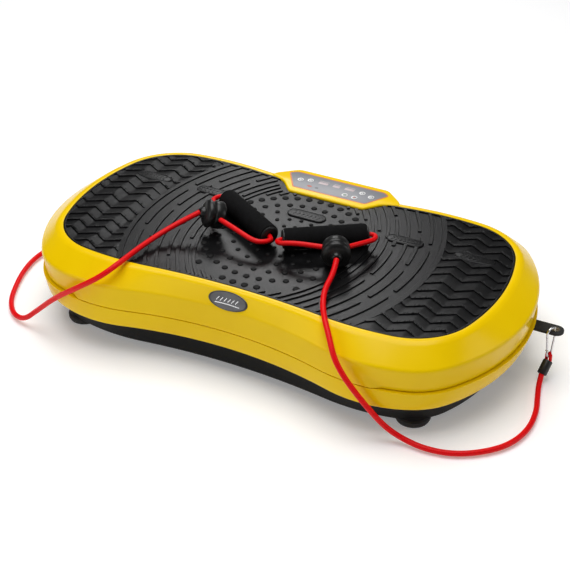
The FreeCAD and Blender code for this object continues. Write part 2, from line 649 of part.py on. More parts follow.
# ================================================================ platform: cord anchors
def anchor_tab(side):
    x0, x1 = sorted((side * 296, side * EYELET_X))
    strip = box(x0, x1, TAB_Y - TAB_HALF_WIDTH, TAB_Y + TAB_HALF_WIDTH, TAB_Z, TAB_Z + TAB_THICKNESS)
    tip = disc(TAB_HALF_WIDTH, side * EYELET_X, TAB_Y, TAB_Z, TAB_Z + TAB_THICKNESS)
    hole = disc(EYELET_HOLE + 1.0, side * EYELET_X, TAB_Y, TAB_Z - 1, TAB_Z + 5)
    return fuse([strip, tip]).cut(hole)


def tab_eyelet(side):
    x = side * EYELET_X
    barrel = disc(EYELET_HOLE + 1.0, x, TAB_Y, TAB_Z, TAB_Z + TAB_THICKNESS)
    lips = [disc(EYELET_HOLE + 2.4, x, TAB_Y, z, z + 0.6) for z in (TAB_Z - 0.6, TAB_Z + TAB_THICKNESS)]
    return fuse([barrel] + lips).cut(disc(EYELET_HOLE, x, TAB_Y, TAB_Z - 2, TAB_Z + 6))


def clip_arcs():
    """Half outline of the pear-shaped hook in its own plane: u outwards, z up."""
    drop = CLIP_TOP_Z - CLIP_LOW_Z
    lean = math.asin((CLIP_TOP_RADIUS - CLIP_LOW_RADIUS) / drop)
    top = (CLIP_TOP_RADIUS * math.cos(lean), CLIP_TOP_Z - CLIP_TOP_RADIUS * math.sin(lean))
    low = (CLIP_LOW_RADIUS * math.cos(lean), CLIP_LOW_Z - CLIP_LOW_RADIUS * math.sin(lean))
    return top, low


def rod(radius, wire, start, along):
    return wire.makePipeShell([Part.Wire(Part.makeCircle(radius, start, along))], True, False)


def clip_point(u, z):
    return Vector(u, 0, z)


def carabiner_body():
    """Closed side, top and foot of the hook; the gate fills the gap in the other side."""
    top, low = clip_arcs()
    gate_top = gate_at(GATE_SPAN[0] - 0.02)
    gate_low = gate_at(GATE_SPAN[1] + 0.065)
    apex = clip_point(0, CLIP_TOP_Z + CLIP_TOP_RADIUS)
    foot_point = clip_point(0, CLIP_LOW_Z - CLIP_LOW_RADIUS)
    path = Part.Wire([Part.makeLine(gate_top, clip_point(*top)),
                      Part.Arc(clip_point(*top), apex, clip_point(-top[0], top[1])).toShape(),
                      Part.makeLine(clip_point(-top[0], top[1]), clip_point(-low[0], low[1])),
                      Part.Arc(clip_point(-low[0], low[1]), foot_point, clip_point(*low)).toShape(),
                      Part.makeLine(clip_point(*low), gate_low)])
    return rod(CLIP_WIRE, path, gate_top, clip_point(*top) - gate_top)


def gate_at(share):
    top, low = clip_arcs()
    return clip_point(top[0] + (low[0] - top[0]) * share, top[1] + (low[1] - top[1]) * share)


def carabiner_gate():
    """Straight gate with its round hinge barrel at the low end."""
    start, end = gate_at(GATE_SPAN[0]), gate_at(GATE_SPAN[1])
    bar = Part.makeCylinder(CLIP_WIRE * 0.85, (end - start).Length, start, end - start)
    barrel = Part.makeCylinder(CLIP_WIRE, 3.6, end - Vector(0, 1.8, 0), Vector(0, 1, 0))
    return bar.fuse(barrel).removeSplitter()


def clip_middle(side):
    """The hook's turn about +Z in degrees, and the place of its own middle line at floor level."""
    turn = CLIP_TURN if side > 0 else 180 - CLIP_TURN
    reach = Vector(math.cos(math.radians(turn)), math.sin(math.radians(turn)), 0) * CLIP_TOP_RADIUS
    return turn, Vector(side * EYELET_X, TAB_Y, 0) + reach


def clip_place(shape, side):
    """Hangs the hook with its closed side through the eyelet and its gate outside the tab."""
    turn, place = clip_middle(side)
    placed = shape.copy()
    placed.rotate(Vector(0, 0, 0), Vector(0, 0, 1), turn)
    placed.translate(place)
    return placed


def clip_foot(side):
    return clip_middle(side)[1] + Vector(0, 0, CLIP_LOW_Z - CLIP_LOW_RADIUS)


def sleeve_ends(route, side):
    low = Vector(*route[-1])
    high = clip_foot(side) + Vector(0, 0, -6.5)
    return low, high


def cord_sleeve(route, side):
    low, high = sleeve_ends(route, side)
    return Part.makeCylinder(SLEEVE_RADIUS, (high - low).Length, low, high - low)


def cord_eye(route, side):
    """Cord bent back over the hook's foot, both legs running into the sleeve."""
    low, high = sleeve_ends(route, side)
    turn = math.radians(clip_middle(side)[0] + 90)
    across = Vector(math.cos(turn), math.sin(turn), 0) * 3.3
    crown = clip_foot(side) + Vector(0, 0, CLIP_WIRE * 2 + 2.2)
    a, b = high + across, high - across
    knee_a, knee_b = crown + across - Vector(0, 0, 3.3), crown - across - Vector(0, 0, 3.3)
    bend = Part.Arc(knee_a, crown, knee_b).toShape()
    path = Part.Wire([Part.makeLine(a, knee_a), bend, Part.makeLine(knee_b, b)])
    return rod(2.1, path, a, knee_a - a)


# ================================================================ handles and connectors
def along_handle(handle):
    a, b = (Vector(x, y, HANDLE_Z) for x, y in handle)
    way = b - a
    way.normalize()
    return a, b, way


def hollow_rod(outer, inner, start, way, length):
    solid = Part.makeCylinder(outer, length, start, way)
    return solid.cut(Part.makeCylinder(inner, length + 2, start - way, way))


def between_caps(handle, outer, inner):
    """Foam or core tube: it fills the length between the two end caps."""
    a, b, way = along_handle(handle)
    length = (b - a).Length - 2 * CAP_THICKNESS
    return hollow_rod(outer, inner, a + way * CAP_THICKNESS, way, length)


def handle_caps(handle):
    a, b, way = along_handle(handle)
    return [hollow_rod(CAP_RADIUS, TUBE_BORE, a, way, CAP_THICKNESS),
            hollow_rod(CAP_RADIUS, TUBE_BORE, b - way * CAP_THICKNESS, way, CAP_THICKNESS)]


def connector_frame(connector):
    centre, way = connector
    return Vector(*centre), Vector(*way).normalize()


def connector_hub(connector):
    centre, way = connector_frame(connector)
    return Part.makeCylinder(HUB_RADIUS, HUB_WIDTH, centre - way * HUB_WIDTH / 2, way)


def connector_dome(connector):
    centre, way = connector_frame(connector)
    start = centre + way * (HUB_WIDTH / 2)
    neck = Part.makeCylinder(HUB_RADIUS - 2, 1.5, start, way)
    dome = Part.makeCone(DOME_RADIUS, DOME_RADIUS - 4, DOME_WIDTH, start + way * 1.5, way)
    tip = start + way * (1.5 + DOME_WIDTH)
    nose = Part.makeCone(NOSE_RADIUS + 1, NOSE_RADIUS - 1, NOSE_LENGTH - 1.5, tip, way)
    return fuse([neck, dome, nose])


# ================================================================ build
def build_base():
    save("base_pan", base_pan())
    save("base_plate", base_plate())
    save("rubber_feet", *four_corners(foot))
    save("base_screws", *(four_corners(foot_screw) + block_screws()))
    save("bearing_blocks", *([pillow_block(y) for y in (-BLOCK_Y, BLOCK_Y)] +
                             [crank_block(y) for y in (-CRANK_BLOCK_Y, CRANK_BLOCK_Y)]))
    save("pivot_bushes", *[pivot_bush(y) for y in (-BLOCK_Y, BLOCK_Y)])
    save("end_bumpers", *[end_bumper(sx * BUMPER_X, sy * BUMPER_Y) for sx in (-1, 1) for sy in (-1, 1)])
    save("crank_bearings", *[crank_bearing(y) for y in (-CRANK_BLOCK_Y, CRANK_BLOCK_Y)])
    save("motor_housing", motor_can(), motor_bell(-64, -60, (-68, -64)), motor_bell(34, 38, (38, 42)))
    save("motor_magnets", motor_magnet(-1), motor_magnet(1))
    save("motor_saddles", *[motor_saddle(y) for y in (-45, 20)])
    save("drive_belt", drive_belt())
    save("driver_board", driver_board())
    save("driver_board_parts", *(board_parts() + board_standoffs()))
    save("power_inlet", power_inlet())
    save("inlet_pins", *inlet_pins())
    save("switch_frame", switch_frame())
    save("switch_rocker", switch_rocker())


def build_drive():
    save("motor_rotor", drum(MOTOR_SHAFT_RADIUS, MOTOR_X, CRANK_Z, -67, 86),
         ring(22.0, MOTOR_SHAFT_RADIUS, MOTOR_X, CRANK_Z, -46, 22))
    save("motor_pulley", pulley(MOTOR_PULLEY_RADIUS, MOTOR_SHAFT_RADIUS, MOTOR_X))
    save("crank_shaft", crank_shaft())
    save("driven_pulley", pulley(DRIVEN_RADIUS, CRANK_RADIUS, CRANK_X))
    journal_x = CRANK_X + CRANK_THROW
    save("eccentric_bearing", ring(CRANK_BEARING_RADIUS, ECCENTRIC_RADIUS, journal_x, CRANK_Z, -6, 6))


def crank_shaft():
    """Shaft with the eccentric journal in one piece."""
    return fuse([drum(CRANK_RADIUS, CRANK_X, CRANK_Z, -54, 86),
                 drum(ECCENTRIC_RADIUS, CRANK_X + CRANK_THROW, CRANK_Z, -8, 8)])


def pulley(radius, bore, x):
    half = BELT_WIDTH / 2 + 0.5
    core = drum(radius, x, CRANK_Z, PULLEY_Y - half, PULLEY_Y + half)
    flanges = [drum(radius + FLANGE_EXTRA, x, CRANK_Z, y, y + FLANGE_THICKNESS)
               for y in (PULLEY_Y - half - FLANGE_THICKNESS, PULLEY_Y + half)]
    return fuse([core] + flanges).cut(drum(bore, x, CRANK_Z, PULLEY_Y - 20, PULLEY_Y + 20))


def build_platform():
    save("top_cover", top_cover())
    save("lower_shell", lower_shell())
    save("anti_slip_mat", anti_slip_mat())
    save("deck_plate", deck_plate())
    save("deck_rails", *[deck_rail(y) for y in (-RAIL_Y, RAIL_Y)])
    save("pivot_lugs", *[pivot_lug(y) for y in (-RAIL_Y, RAIL_Y)])
    save("pivot_shaft", drum(PIVOT_RADIUS, 0, PIVOT_Z, -PIVOT_LENGTH / 2, PIVOT_LENGTH / 2))
    save("crank_yoke", crank_yoke())
    save("panel_overlay", panel_overlay())
    save("display_windows", *window_boxes(PANEL_TOP - OVERLAY_THICKNESS + 0.3, PANEL_TOP + 0.3))
    save("display_board", display_board())
    save("badge", badge())
    for number, (x, y) in enumerate(KEY_PLACES, 1):
        save(f"panel_key_{number}", panel_key(x, y))


def build_cords():
    sides = (("left", -1, LEFT_ROUTE, LEFT_LOOP, LEFT_HANDLE, LEFT_CONNECTOR),
             ("right", 1, RIGHT_ROUTE, RIGHT_LOOP, RIGHT_HANDLE, RIGHT_CONNECTOR))
    save("anchor_tabs", anchor_tab(-1), anchor_tab(1))
    save("anchor_eyelets", tab_eyelet(-1), tab_eyelet(1))
    save("cord_sleeves", cord_sleeve(LEFT_ROUTE, -1), cord_sleeve(RIGHT_ROUTE, 1))
    for name, side, route, loop, handle, connector in sides:
        save(f"{name}_carabiner", clip_place(carabiner_body(), side))
        save(f"{name}_gate", clip_place(carabiner_gate(), side))
        save(f"{name}_cord", cord(f"{name} cord", route), cord_eye(route, side))
        save(f"{name}_handle_loop", cord(f"{name} loop", loop, LOOP_DIAMETER))
        save(f"{name}_connector", connector_hub(connector), connector_dome(connector))
        save(f"{name}_grip_foam", between_caps(handle, FOAM_RADIUS, TUBE_RADIUS))
        save(f"{name}_grip_core", between_caps(handle, TUBE_RADIUS, TUBE_BORE), *handle_caps(handle))


build_base()
build_drive()
build_platform()
build_cords()
print(len(os.listdir("parts")), "nodes")
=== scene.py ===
import json
import math

import bpy
import bmesh
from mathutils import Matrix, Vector

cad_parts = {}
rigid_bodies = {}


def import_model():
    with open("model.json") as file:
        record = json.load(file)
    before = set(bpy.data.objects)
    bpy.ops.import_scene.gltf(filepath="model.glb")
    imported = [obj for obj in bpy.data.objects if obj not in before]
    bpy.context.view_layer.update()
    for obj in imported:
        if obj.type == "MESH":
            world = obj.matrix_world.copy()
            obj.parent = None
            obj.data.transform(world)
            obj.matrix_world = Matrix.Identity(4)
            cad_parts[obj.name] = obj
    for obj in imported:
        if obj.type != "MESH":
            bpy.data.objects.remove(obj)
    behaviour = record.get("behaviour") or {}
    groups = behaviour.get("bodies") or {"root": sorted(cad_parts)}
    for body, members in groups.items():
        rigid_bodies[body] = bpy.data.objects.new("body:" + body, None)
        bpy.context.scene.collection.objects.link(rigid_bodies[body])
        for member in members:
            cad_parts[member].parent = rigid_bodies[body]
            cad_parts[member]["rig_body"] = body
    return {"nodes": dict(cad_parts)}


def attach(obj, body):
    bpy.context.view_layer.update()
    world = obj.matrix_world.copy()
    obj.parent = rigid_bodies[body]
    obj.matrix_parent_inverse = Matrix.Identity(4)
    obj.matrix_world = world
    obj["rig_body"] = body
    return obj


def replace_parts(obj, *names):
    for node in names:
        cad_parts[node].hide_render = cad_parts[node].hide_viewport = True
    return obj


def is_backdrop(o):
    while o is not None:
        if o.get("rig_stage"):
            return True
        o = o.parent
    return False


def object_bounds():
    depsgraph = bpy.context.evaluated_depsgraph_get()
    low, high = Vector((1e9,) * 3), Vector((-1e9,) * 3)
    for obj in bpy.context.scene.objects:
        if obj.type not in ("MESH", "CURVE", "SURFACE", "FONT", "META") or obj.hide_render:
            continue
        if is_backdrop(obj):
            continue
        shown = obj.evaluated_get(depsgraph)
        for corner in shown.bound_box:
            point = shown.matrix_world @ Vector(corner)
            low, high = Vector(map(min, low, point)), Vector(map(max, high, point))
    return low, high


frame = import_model()
loaded_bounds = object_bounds()

# ---------------------------------------------------------------- sizes (millimetres, as in the CAD)
MM = 0.001
MAT_OUTLINE = (294.2, 134.5, 144.6, 960.0, 380.0, 85.0, 288.0)
CREASE_OUTLINE = (331.5, 153.5, 178.5, 500.0, 190.0, 85.0, 230.0)
WALL_OUTLINE = (332.0, 154.5, 178.2, 505.0, 200.0, 92.0, 230.0)
LOWER_OUTLINE = (322.7, 152.0, 176.5, 545.0, 150.0, 84.0, 238.0)
RIM_WIDTH = 9.5
SHELL_BOTTOM = 43.2
PARTING = 70.0
PARTING_GAP = 0.6
CREASE = 102.0
RIM_SHOULDER = 122.5
MAT_SIDE_FOOT = 121.8
MAT_TOP = 125.0
MAT_FLOOR = 123.4
RELIEF = 1.6
PANEL_TOP = 126.5
KEY_RADIUS = 4.3
KEY_PLACES = [(-50, 143), (-36.5, 147), (42, 146), (57, 141.5), (22.5, 131), (37, 130.5)]
WINDOWS = [(-17, 147, 14), (2.5, 147, 10), (22, 147.5, 14)]
PANEL_X = 3.0
OVERLAY_OUTLINE = [(-51.5, 120.5), (57, 120.5), (77.5, 155.5), (69, 162.5), (-63, 163.5), (-74, 156)]
BADGE_HALF = (27.0, 11.5)
CLIP_TURN = math.atan2(-0.88, -0.48)
CLIP_TOP_RADIUS = 7.0
CLIP_FOOT_Z = 30.3
EYELET_X = 354.5
TAB_Y = 40.0
SLEEVE_RADIUS = 6.2
EYE_HALF_WIDTH = 3.3
EYE_RADIUS = 2.1
CORD_DIAMETER = 7.0
LOOP_DIAMETER = 6.4
FOAM_RADIUS = 13.95
CAP_RADIUS = 12.2
HANDLE_Z = 139.6
LEFT_HANDLE = ((-103.0, 31.0), (-5.3, -30.1))
RIGHT_HANDLE = ((11.0, -30.0), (102.6, 32.3))
LEFT_CONNECTOR = ((-85.5, -24.0, 146.6), (-0.70, -0.62, 0.30))
RIGHT_CONNECTOR = ((85.6, -28.0, 144.6), (0.46, -0.888, 0.0))
# points of each free cord, from the connector's nose to the anchor sleeve
LEFT_ROUTE = [
    (-102.4, -39.0, 153.6), (-122.6, -58.5, 143.0), (-140.5, -92.0, 133.0), (-145.1, -131.6, 132.0),
    (-147.2, -162.5, 131.5), (-161.2, -185.0, 120.0), (-193.0, -190.0, 98.0), (-235.4, -182.1, 66.0),
    (-274.5, -174.0, 29.0), (-296.0, -176.0, 9.0), (-321.1, -167.5, 5.2), (-343.9, -142.5, 5.2),
    (-359.9, -109.9, 5.2), (-372.9, -75.9, 5.2), (-380.0, -41.9, 5.2), (-378.0, -12.0, 5.4),
    (-369.0, 8.0, 7.0), (-360.5, 21.5, 11.5)]
RIGHT_ROUTE = [
    (96.7, -49.5, 144.6), (102.2, -68.0, 138.0), (104.5, -97.0, 132.0), (115.5, -126.2, 132.5),
    (130.0, -152.0, 132.0), (147.4, -173.8, 123.0), (161.0, -189.0, 107.0), (176.0, -193.0, 88.0),
    (190.0, -190.0, 68.0), (208.0, -186.0, 45.0), (224.0, -178.0, 22.0), (244.5, -172.4, 8.0),
    (273.4, -174.2, 5.2), (305.5, -168.2, 5.2), (334.5, -149.4, 5.2), (357.5, -122.8, 5.2),
    (368.1, -86.7, 5.2), (366.0, -49.6, 5.2), (357.1, -18.8, 5.2), (350.7, 4.7, 6.6),
    (348.5, 20.5, 11.0)]
# points of each handle's loop, from one side of the connector through the grip to the other
LEFT_LOOP = [
    (-96.0, -12.5, 149.0), (-108.7, 4.8, 145.0), (-116.5, 19.5, 141.0), (-110.5, 35.7, HANDLE_Z),
    (-79.8, 16.9, HANDLE_Z), (-32.6, -12.6, HANDLE_Z), (0.2, -33.5, HANDLE_Z),
    (-3.0, -43.5, 139.6), (-10.5, -50.5, 140.5), (-21.0, -51.5, 142.0),
    (-38.0, -47.5, 145.0), (-57.0, -42.0, 147.5), (-75.5, -35.5, 148.5)]
RIGHT_LOOP = [
    (70.3, -35.0, 147.5), (50.0, -39.0, 147.5), (31.0, -43.0, 146.5), (14.5, -47.0, 143.5),
    (5.9, -33.5, HANDLE_Z), (35.8, -12.7, HANDLE_Z), (77.8, 15.8, HANDLE_Z), (108.9, 36.6, HANDLE_Z),
    (117.5, 22.0, 141.5), (112.0, 4.5, 145.0), (99.3, -19.0, 147.5)]

# rows of raised bars on the mat: outer radius about (+-90, 0) and the stretches, in degrees about the middle
RIB_CENTRE = 90.0
RIB_ROWS = [
    (274.0, [(-90, -21.5), (-16.5, 16.2), (21.7, 90)]),
    (258.0, [(-90, -32), (-26.8, -2), (3.5, 26.5), (31.7, 90)]),
    (243.6, [(-90, 90)]),
    (228.9, [(-90, -48), (-44, -19), (-12.2, 13), (18.5, 44), (48, 90)]),
    (217.5, [(-90, 90)]),
    (205.8, [(-90, -35), (-28.5, 28.3), (35, 90)]),
    (197.0, [(-90, 90)]),
    (188.3, [(-90, -65), (50, 90)]),
    (179.3, [(-90, -73.3), (59, 90)]),
    (170.2, [(68.6, 90)])]
ZONE_RING = (284.5, 291.6)
ZIGZAG_PEAKS = [163.5, 144.5, 126.9, 109.0, 90.2, 71.4, 52.5, 34.0, 15.6, -7.2, -26.9, -46.0, -65.0, -84.0,
                -103.0, -121.9, -141.0]
ZIGZAG_X = 221.0
ZIGZAG_PERIOD = 39.5
ZIGZAG_SWING = 12.0
ZIGZAG_SPAN = (128.0, 292.0)
ZIGZAG_STEP = 1.25


# ================================================================ materials
def rgb(r, g, b):
    return (r, g, b, 1.0)


def node_set(name):
    mat = bpy.data.materials.new(name)
    mat.use_nodes = True
    nodes, links = mat.node_tree.nodes, mat.node_tree.links
    return mat, nodes, links, nodes["Principled BSDF"]


def material(name, dark, light, rough, grain=180.0, bump=0.05, metallic=0.0, specular=0.5):
    """Colour and roughness vary with fine noise, and a second noise gives the surface its grain."""
    mat, nodes, links, bsdf = node_set(name)
    where = nodes.new("ShaderNodeTexCoord")
    noise = nodes.new("ShaderNodeTexNoise")
    noise.inputs["Scale"].default_value = grain * 0.25
    noise.inputs["Detail"].default_value = 4
    ramp = nodes.new("ShaderNodeValToRGB")
    ramp.color_ramp.elements[0].position = 0.35
    ramp.color_ramp.elements[1].position = 0.65
    ramp.color_ramp.elements[0].color = rgb(*dark)
    ramp.color_ramp.elements[1].color = rgb(*light)
    spread = nodes.new("ShaderNodeMapRange")
    spread.inputs["To Min"].default_value = rough[0]
    spread.inputs["To Max"].default_value = rough[1]
    fine = nodes.new("ShaderNodeTexNoise")
    fine.inputs["Scale"].default_value = grain * 8
    fine.inputs["Detail"].default_value = 2
    relief = nodes.new("ShaderNodeBump")
    relief.inputs["Strength"].default_value = bump
    relief.inputs["Distance"].default_value = 0.0004
    links.new(where.outputs["Object"], noise.inputs["Vector"])
    links.new(where.outputs["Object"], fine.inputs["Vector"])
    links.new(noise.outputs["Fac"], ramp.inputs["Fac"])
    links.new(noise.outputs["Fac"], spread.inputs["Value"])
    links.new(ramp.outputs["Color"], bsdf.inputs["Base Color"])
    links.new(spread.outputs["Result"], bsdf.inputs["Roughness"])
    links.new(fine.outputs["Fac"], relief.inputs["Height"])
    links.new(relief.outputs["Normal"], bsdf.inputs["Normal"])
    bsdf.inputs["Metallic"].default_value = metallic
    bsdf.inputs["Specular IOR Level"].default_value = specular
    return mat


def braided(name, dark, light):
    """Fine crossing threads, from two waves that lean opposite ways."""
    mat, nodes, links, bsdf = node_set(name)
    where = nodes.new("ShaderNodeTexCoord")
    waves = []
    for lean in (0.7, -0.7):
        turn = nodes.new("ShaderNodeMapping")
        turn.inputs["Rotation"].default_value = (0.4, lean, lean)
        wave = nodes.new("ShaderNodeTexWave")
        wave.inputs["Scale"].default_value = 260
        wave.inputs["Distortion"].default_value = 1.0
        links.new(where.outputs["Object"], turn.inputs["Vector"])
        links.new(turn.outputs["Vector"], wave.inputs["Vector"])
        waves.append(wave)
    both = nodes.new("ShaderNodeMath")
    both.operation = "MAXIMUM"
    links.new(waves[0].outputs["Fac"], both.inputs[0])
    links.new(waves[1].outputs["Fac"], both.inputs[1])
    ramp = nodes.new("ShaderNodeValToRGB")
    ramp.color_ramp.elements[0].color = rgb(*dark)
    ramp.color_ramp.elements[1].color = rgb(*light)
    relief = nodes.new("ShaderNodeBump")
    relief.inputs["Strength"].default_value = 0.12
    relief.inputs["Distance"].default_value = 0.0003
    links.new(both.outputs["Value"], ramp.inputs["Fac"])
    links.new(ramp.outputs["Color"], bsdf.inputs["Base Color"])
    links.new(both.outputs["Value"], relief.inputs["Height"])
    links.new(relief.outputs["Normal"], bsdf.inputs["Normal"])
    bsdf.inputs["Roughness"].default_value = 0.40
    bsdf.inputs["Specular IOR Level"].default_value = 0.18
    return mat


YELLOW = material("yellow gloss plastic", (0.86, 0.560, 0.000), (0.90, 0.600, 0.001), (0.20, 0.26), 40, 0.02,
                  specular=0.16)
# Orange-brown for the gap between the shells: painted shade, the yellow darkened where light does not reach.
SEAM_SHADE = material("seam shadow", (0.30, 0.13, 0.004), (0.36, 0.17, 0.006), (0.5, 0.6), 60, 0.05)
MAT_BLACK = material("mat rubber", (0.0025, 0.0025, 0.0027), (0.005, 0.005, 0.0055), (0.27, 0.34), 260, 0.26,
                     specular=0.28)
# The dots are a darker black than the mat rubber around them: painted shade on the domes.
DOT_SHADE_BLACK = material("mat dots painted shade", (0.0015, 0.0015, 0.0016), (0.003, 0.003, 0.0032), (0.60, 0.70), 260, 0.30,
                     specular=0.25)
BASE_BLACK = material("base plastic", (0.003, 0.003, 0.003), (0.006, 0.006, 0.006), (0.50, 0.62), 220, 0.25,
                      specular=0.12)
FOOT_BLACK = material("foot rubber", (0.005, 0.005, 0.005), (0.010, 0.010, 0.010), (0.6, 0.75), 200, 0.3)
FOAM_BLACK = material("handle foam", (0.0015, 0.0015, 0.0017), (0.004, 0.004, 0.0045), (0.82, 0.95), 420, 0.7,
                      specular=0.15)
PLASTIC_BLACK = material("connector plastic", (0.008, 0.008, 0.008), (0.014, 0.014, 0.014), (0.28, 0.36), 120, 0.08,
                         specular=0.35)
SLEEVE_BLACK = material("sleeve rubber", (0.007, 0.007, 0.007), (0.013, 0.013, 0.013), (0.4, 0.5), 200, 0.15)
WEBBING = material("tab webbing", (0.005, 0.005, 0.005), (0.014, 0.014, 0.014), (0.7, 0.85), 500, 0.6)
SILVER = material("polished clip metal", (0.60, 0.60, 0.61), (0.72, 0.72, 0.73), (0.16, 0.24), 90, 0.02, metallic=1.0)
EYELET = material("eyelet metal", (0.55, 0.47, 0.33), (0.70, 0.62, 0.46), (0.22, 0.32), 90, 0.02, metallic=1.0)
STEEL = material("machined steel", (0.42, 0.42, 0.43), (0.56, 0.56, 0.57), (0.28, 0.42), 120, 0.05, metallic=1.0)
PAINTED = material("painted steel", (0.035, 0.036, 0.040), (0.050, 0.052, 0.056), (0.40, 0.52), 120, 0.1)
CAST = material("cast alloy", (0.38, 0.38, 0.39), (0.50, 0.50, 0.51), (0.45, 0.6), 200, 0.3, metallic=1.0)
BRASS = material("brass", (0.60, 0.42, 0.14), (0.72, 0.52, 0.20), (0.22, 0.35), 120, 0.03, metallic=1.0)
BOARD = material("circuit board", (0.010, 0.10, 0.035), (0.016, 0.14, 0.05), (0.35, 0.5), 200, 0.1)
BLOCKS = material("board components", (0.015, 0.015, 0.02), (0.03, 0.03, 0.035), (0.4, 0.55), 120, 0.1)
COPPER = material("rotor laminations", (0.30, 0.17, 0.08), (0.44, 0.26, 0.14), (0.35, 0.5), 200, 0.2, metallic=1.0)
FILM = material("panel film", (0.200, 0.205, 0.225), (0.225, 0.230, 0.250), (0.30, 0.38), 120, 0.02)
ORANGE = material("panel border", (0.66, 0.17, 0.03), (0.74, 0.21, 0.04), (0.35, 0.45), 120, 0.02)
PALE = material("panel pale print", (0.46, 0.37, 0.38), (0.54, 0.45, 0.46), (0.35, 0.45), 120, 0.02)
KEY_WHITE = material("key face", (0.74, 0.74, 0.72), (0.84, 0.84, 0.82), (0.30, 0.40), 120, 0.02)
KEY_GREY = material("key icon", (0.10, 0.10, 0.11), (0.14, 0.14, 0.15), (0.35, 0.45), 120, 0.02)
KEY_RED = material("key red icon", (0.42, 0.08, 0.05), (0.52, 0.12, 0.08), (0.35, 0.45), 120, 0.02)
KEY_GREEN = material("key green icon", (0.16, 0.28, 0.17), (0.22, 0.36, 0.22), (0.35, 0.45), 120, 0.02)
BADGE_GREY = material("badge face", (0.11, 0.11, 0.115), (0.14, 0.14, 0.145), (0.35, 0.45), 160, 0.04, metallic=0.3)
BADGE_RIM = material("badge rim", (0.05, 0.05, 0.053), (0.07, 0.07, 0.074), (0.30, 0.40), 160, 0.04, metallic=0.5)
CORD_RED = braided("red braid", (0.62, 0.001, 0.003), (0.82, 0.002, 0.005))


# ================================================================ mesh helpers
def mesh_object(name, verts, faces, mats, body, face_mats=None, smooth=True, merge=0.0):
    """Mesh from points in millimetres, riding on a body."""
    mesh = bpy.data.meshes.new(name)
    mesh.from_pydata([(x * MM, y * MM, z * MM) for x, y, z in verts], [], faces)
    for mat in mats:
        mesh.materials.append(mat)
    if face_mats:
        mesh.polygons.foreach_set("material_index", face_mats)
    bm = bmesh.new()
    bm.from_mesh(mesh)
    if merge:
        bmesh.ops.remove_doubles(bm, verts=bm.verts, dist=merge * MM)
    bmesh.ops.recalc_face_normals(bm, faces=bm.faces)
    bm.to_mesh(mesh)
    bm.free()
    if smooth:
        mesh.shade_smooth()
        mesh.set_sharp_from_angle(angle=math.radians(32))
    obj = bpy.data.objects.new(name, mesh)
    bpy.context.scene.collection.objects.link(obj)
    if body:
        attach(obj, body)
    return obj


def lathe(name, profile, origin, axis, mats, body, segments=64, face_mats=None):
    """Solid of revolution: profile is (along, radius) from the origin, in millimetres."""
    axis = Vector(axis).normalized()
    side = axis.orthogonal().normalized()
    other = axis.cross(side)
    origin = Vector(origin)
    verts, faces, picks = [], [], []
    for along, radius in profile:
        for k in range(segments):
            a = 2 * math.pi * k / segments
            verts.append(origin + axis * along + (side * math.cos(a) + other * math.sin(a)) * max(radius, 0.01))
    for row in range(len(profile) - 1):
        for k in range(segments):
            n = (k + 1) % segments
            faces.append((row * segments + k, row * segments + n, (row + 1) * segments + n, (row + 1) * segments + k))
            picks.append(face_mats[row] if face_mats else 0)
    return mesh_object(name, verts, faces, mats, body, picks, merge=0.015)


def round_polygon(points, radius, steps=6):
    """Corners of a closed polygon turned into short curves."""
    result = []
    count = len(points)
    for i, here in enumerate(points):
        p, before, after = Vector(here), Vector(points[i - 1]), Vector(points[(i + 1) % count])
        back, ahead = before - p, after - p
        reach = min(radius, back.length * 0.45, ahead.length * 0.45)
        a, b = p + back.normalized() * reach, p + ahead.normalized() * reach
        for s in range(steps + 1):
            t = s / steps
            result.append(tuple(a * (1 - t) ** 2 + p * 2 * t * (1 - t) + b * t ** 2))
    return result


def offset_polygon(points, distance):
    """Moves each point of a closed, anticlockwise polygon outwards by distance."""
    result = []
    count = len(points)
    for i, here in enumerate(points):
        ahead = Vector(points[(i + 1) % count]) - Vector(points[i - 1])
        ahead.normalize()
        result.append((here[0] + ahead.y * distance, here[1] - ahead.x * distance))
    return result


def anticlockwise(points):
    area = sum(a[0] * b[1] - b[0] * a[1] for a, b in zip(points, points[1:] + points[:1]))
    return points if area > 0 else points[::-1]


def slab(name, points, z0, z1, bevel, mats, body, bottom=True):
    """Flat plate of any outline with a rounded top edge."""
    points = anticlockwise(points)
    rows = [(0, z0)] + [(-bevel * (1 - math.cos(a)), z1 - bevel * (1 - math.sin(a)))
                        for a in (0, 0.4, 0.8, 1.2, math.pi / 2)] if bevel else [(0, z0), (0, z1)]
    verts, faces = [], []
    count = len(points)
    for shift, z in rows:
        verts += [(x, y, z) for x, y in (offset_polygon(points, shift) if shift else points)]
    for row in range(len(rows) - 1):
        for k in range(count):
            n = (k + 1) % count
            faces.append((row * count + k, row * count + n, (row + 1) * count + n, (row + 1) * count + k))
    faces.append(tuple(range((len(rows) - 1) * count, len(rows) * count)))
    if bottom:
        faces.append(tuple(reversed(range(count))))
    return mesh_object(name, verts, faces, mats, body)


def tube(name, path, radius, mats, body, segments=20):
    """Round rod along a row of points, with closed ends."""
    verts, faces = [], []
    side = None
    for i, here in enumerate(path):
        way = (path[min(i + 1, len(path) - 1)] - path[max(i - 1, 0)]).normalized()
        side = way.orthogonal() if side is None else side - way * side.dot(way)
        side.normalize()
        other = way.cross(side)
        for k in range(segments):
            a = 2 * math.pi * k / segments
            verts.append(here + (side * math.cos(a) + other * math.sin(a)) * radius)
    for r in range(len(path) - 1):
        for k in range(segments):
            n = (k + 1) % segments
            faces.append((r * segments + k, r * segments + n, (r + 1) * segments + n, (r + 1) * segments + k))
    faces.append(tuple(range(segments)))
    faces.append(tuple(range((len(path) - 1) * segments, len(path) * segments)))
    return mesh_object(name, verts, faces, mats, body)


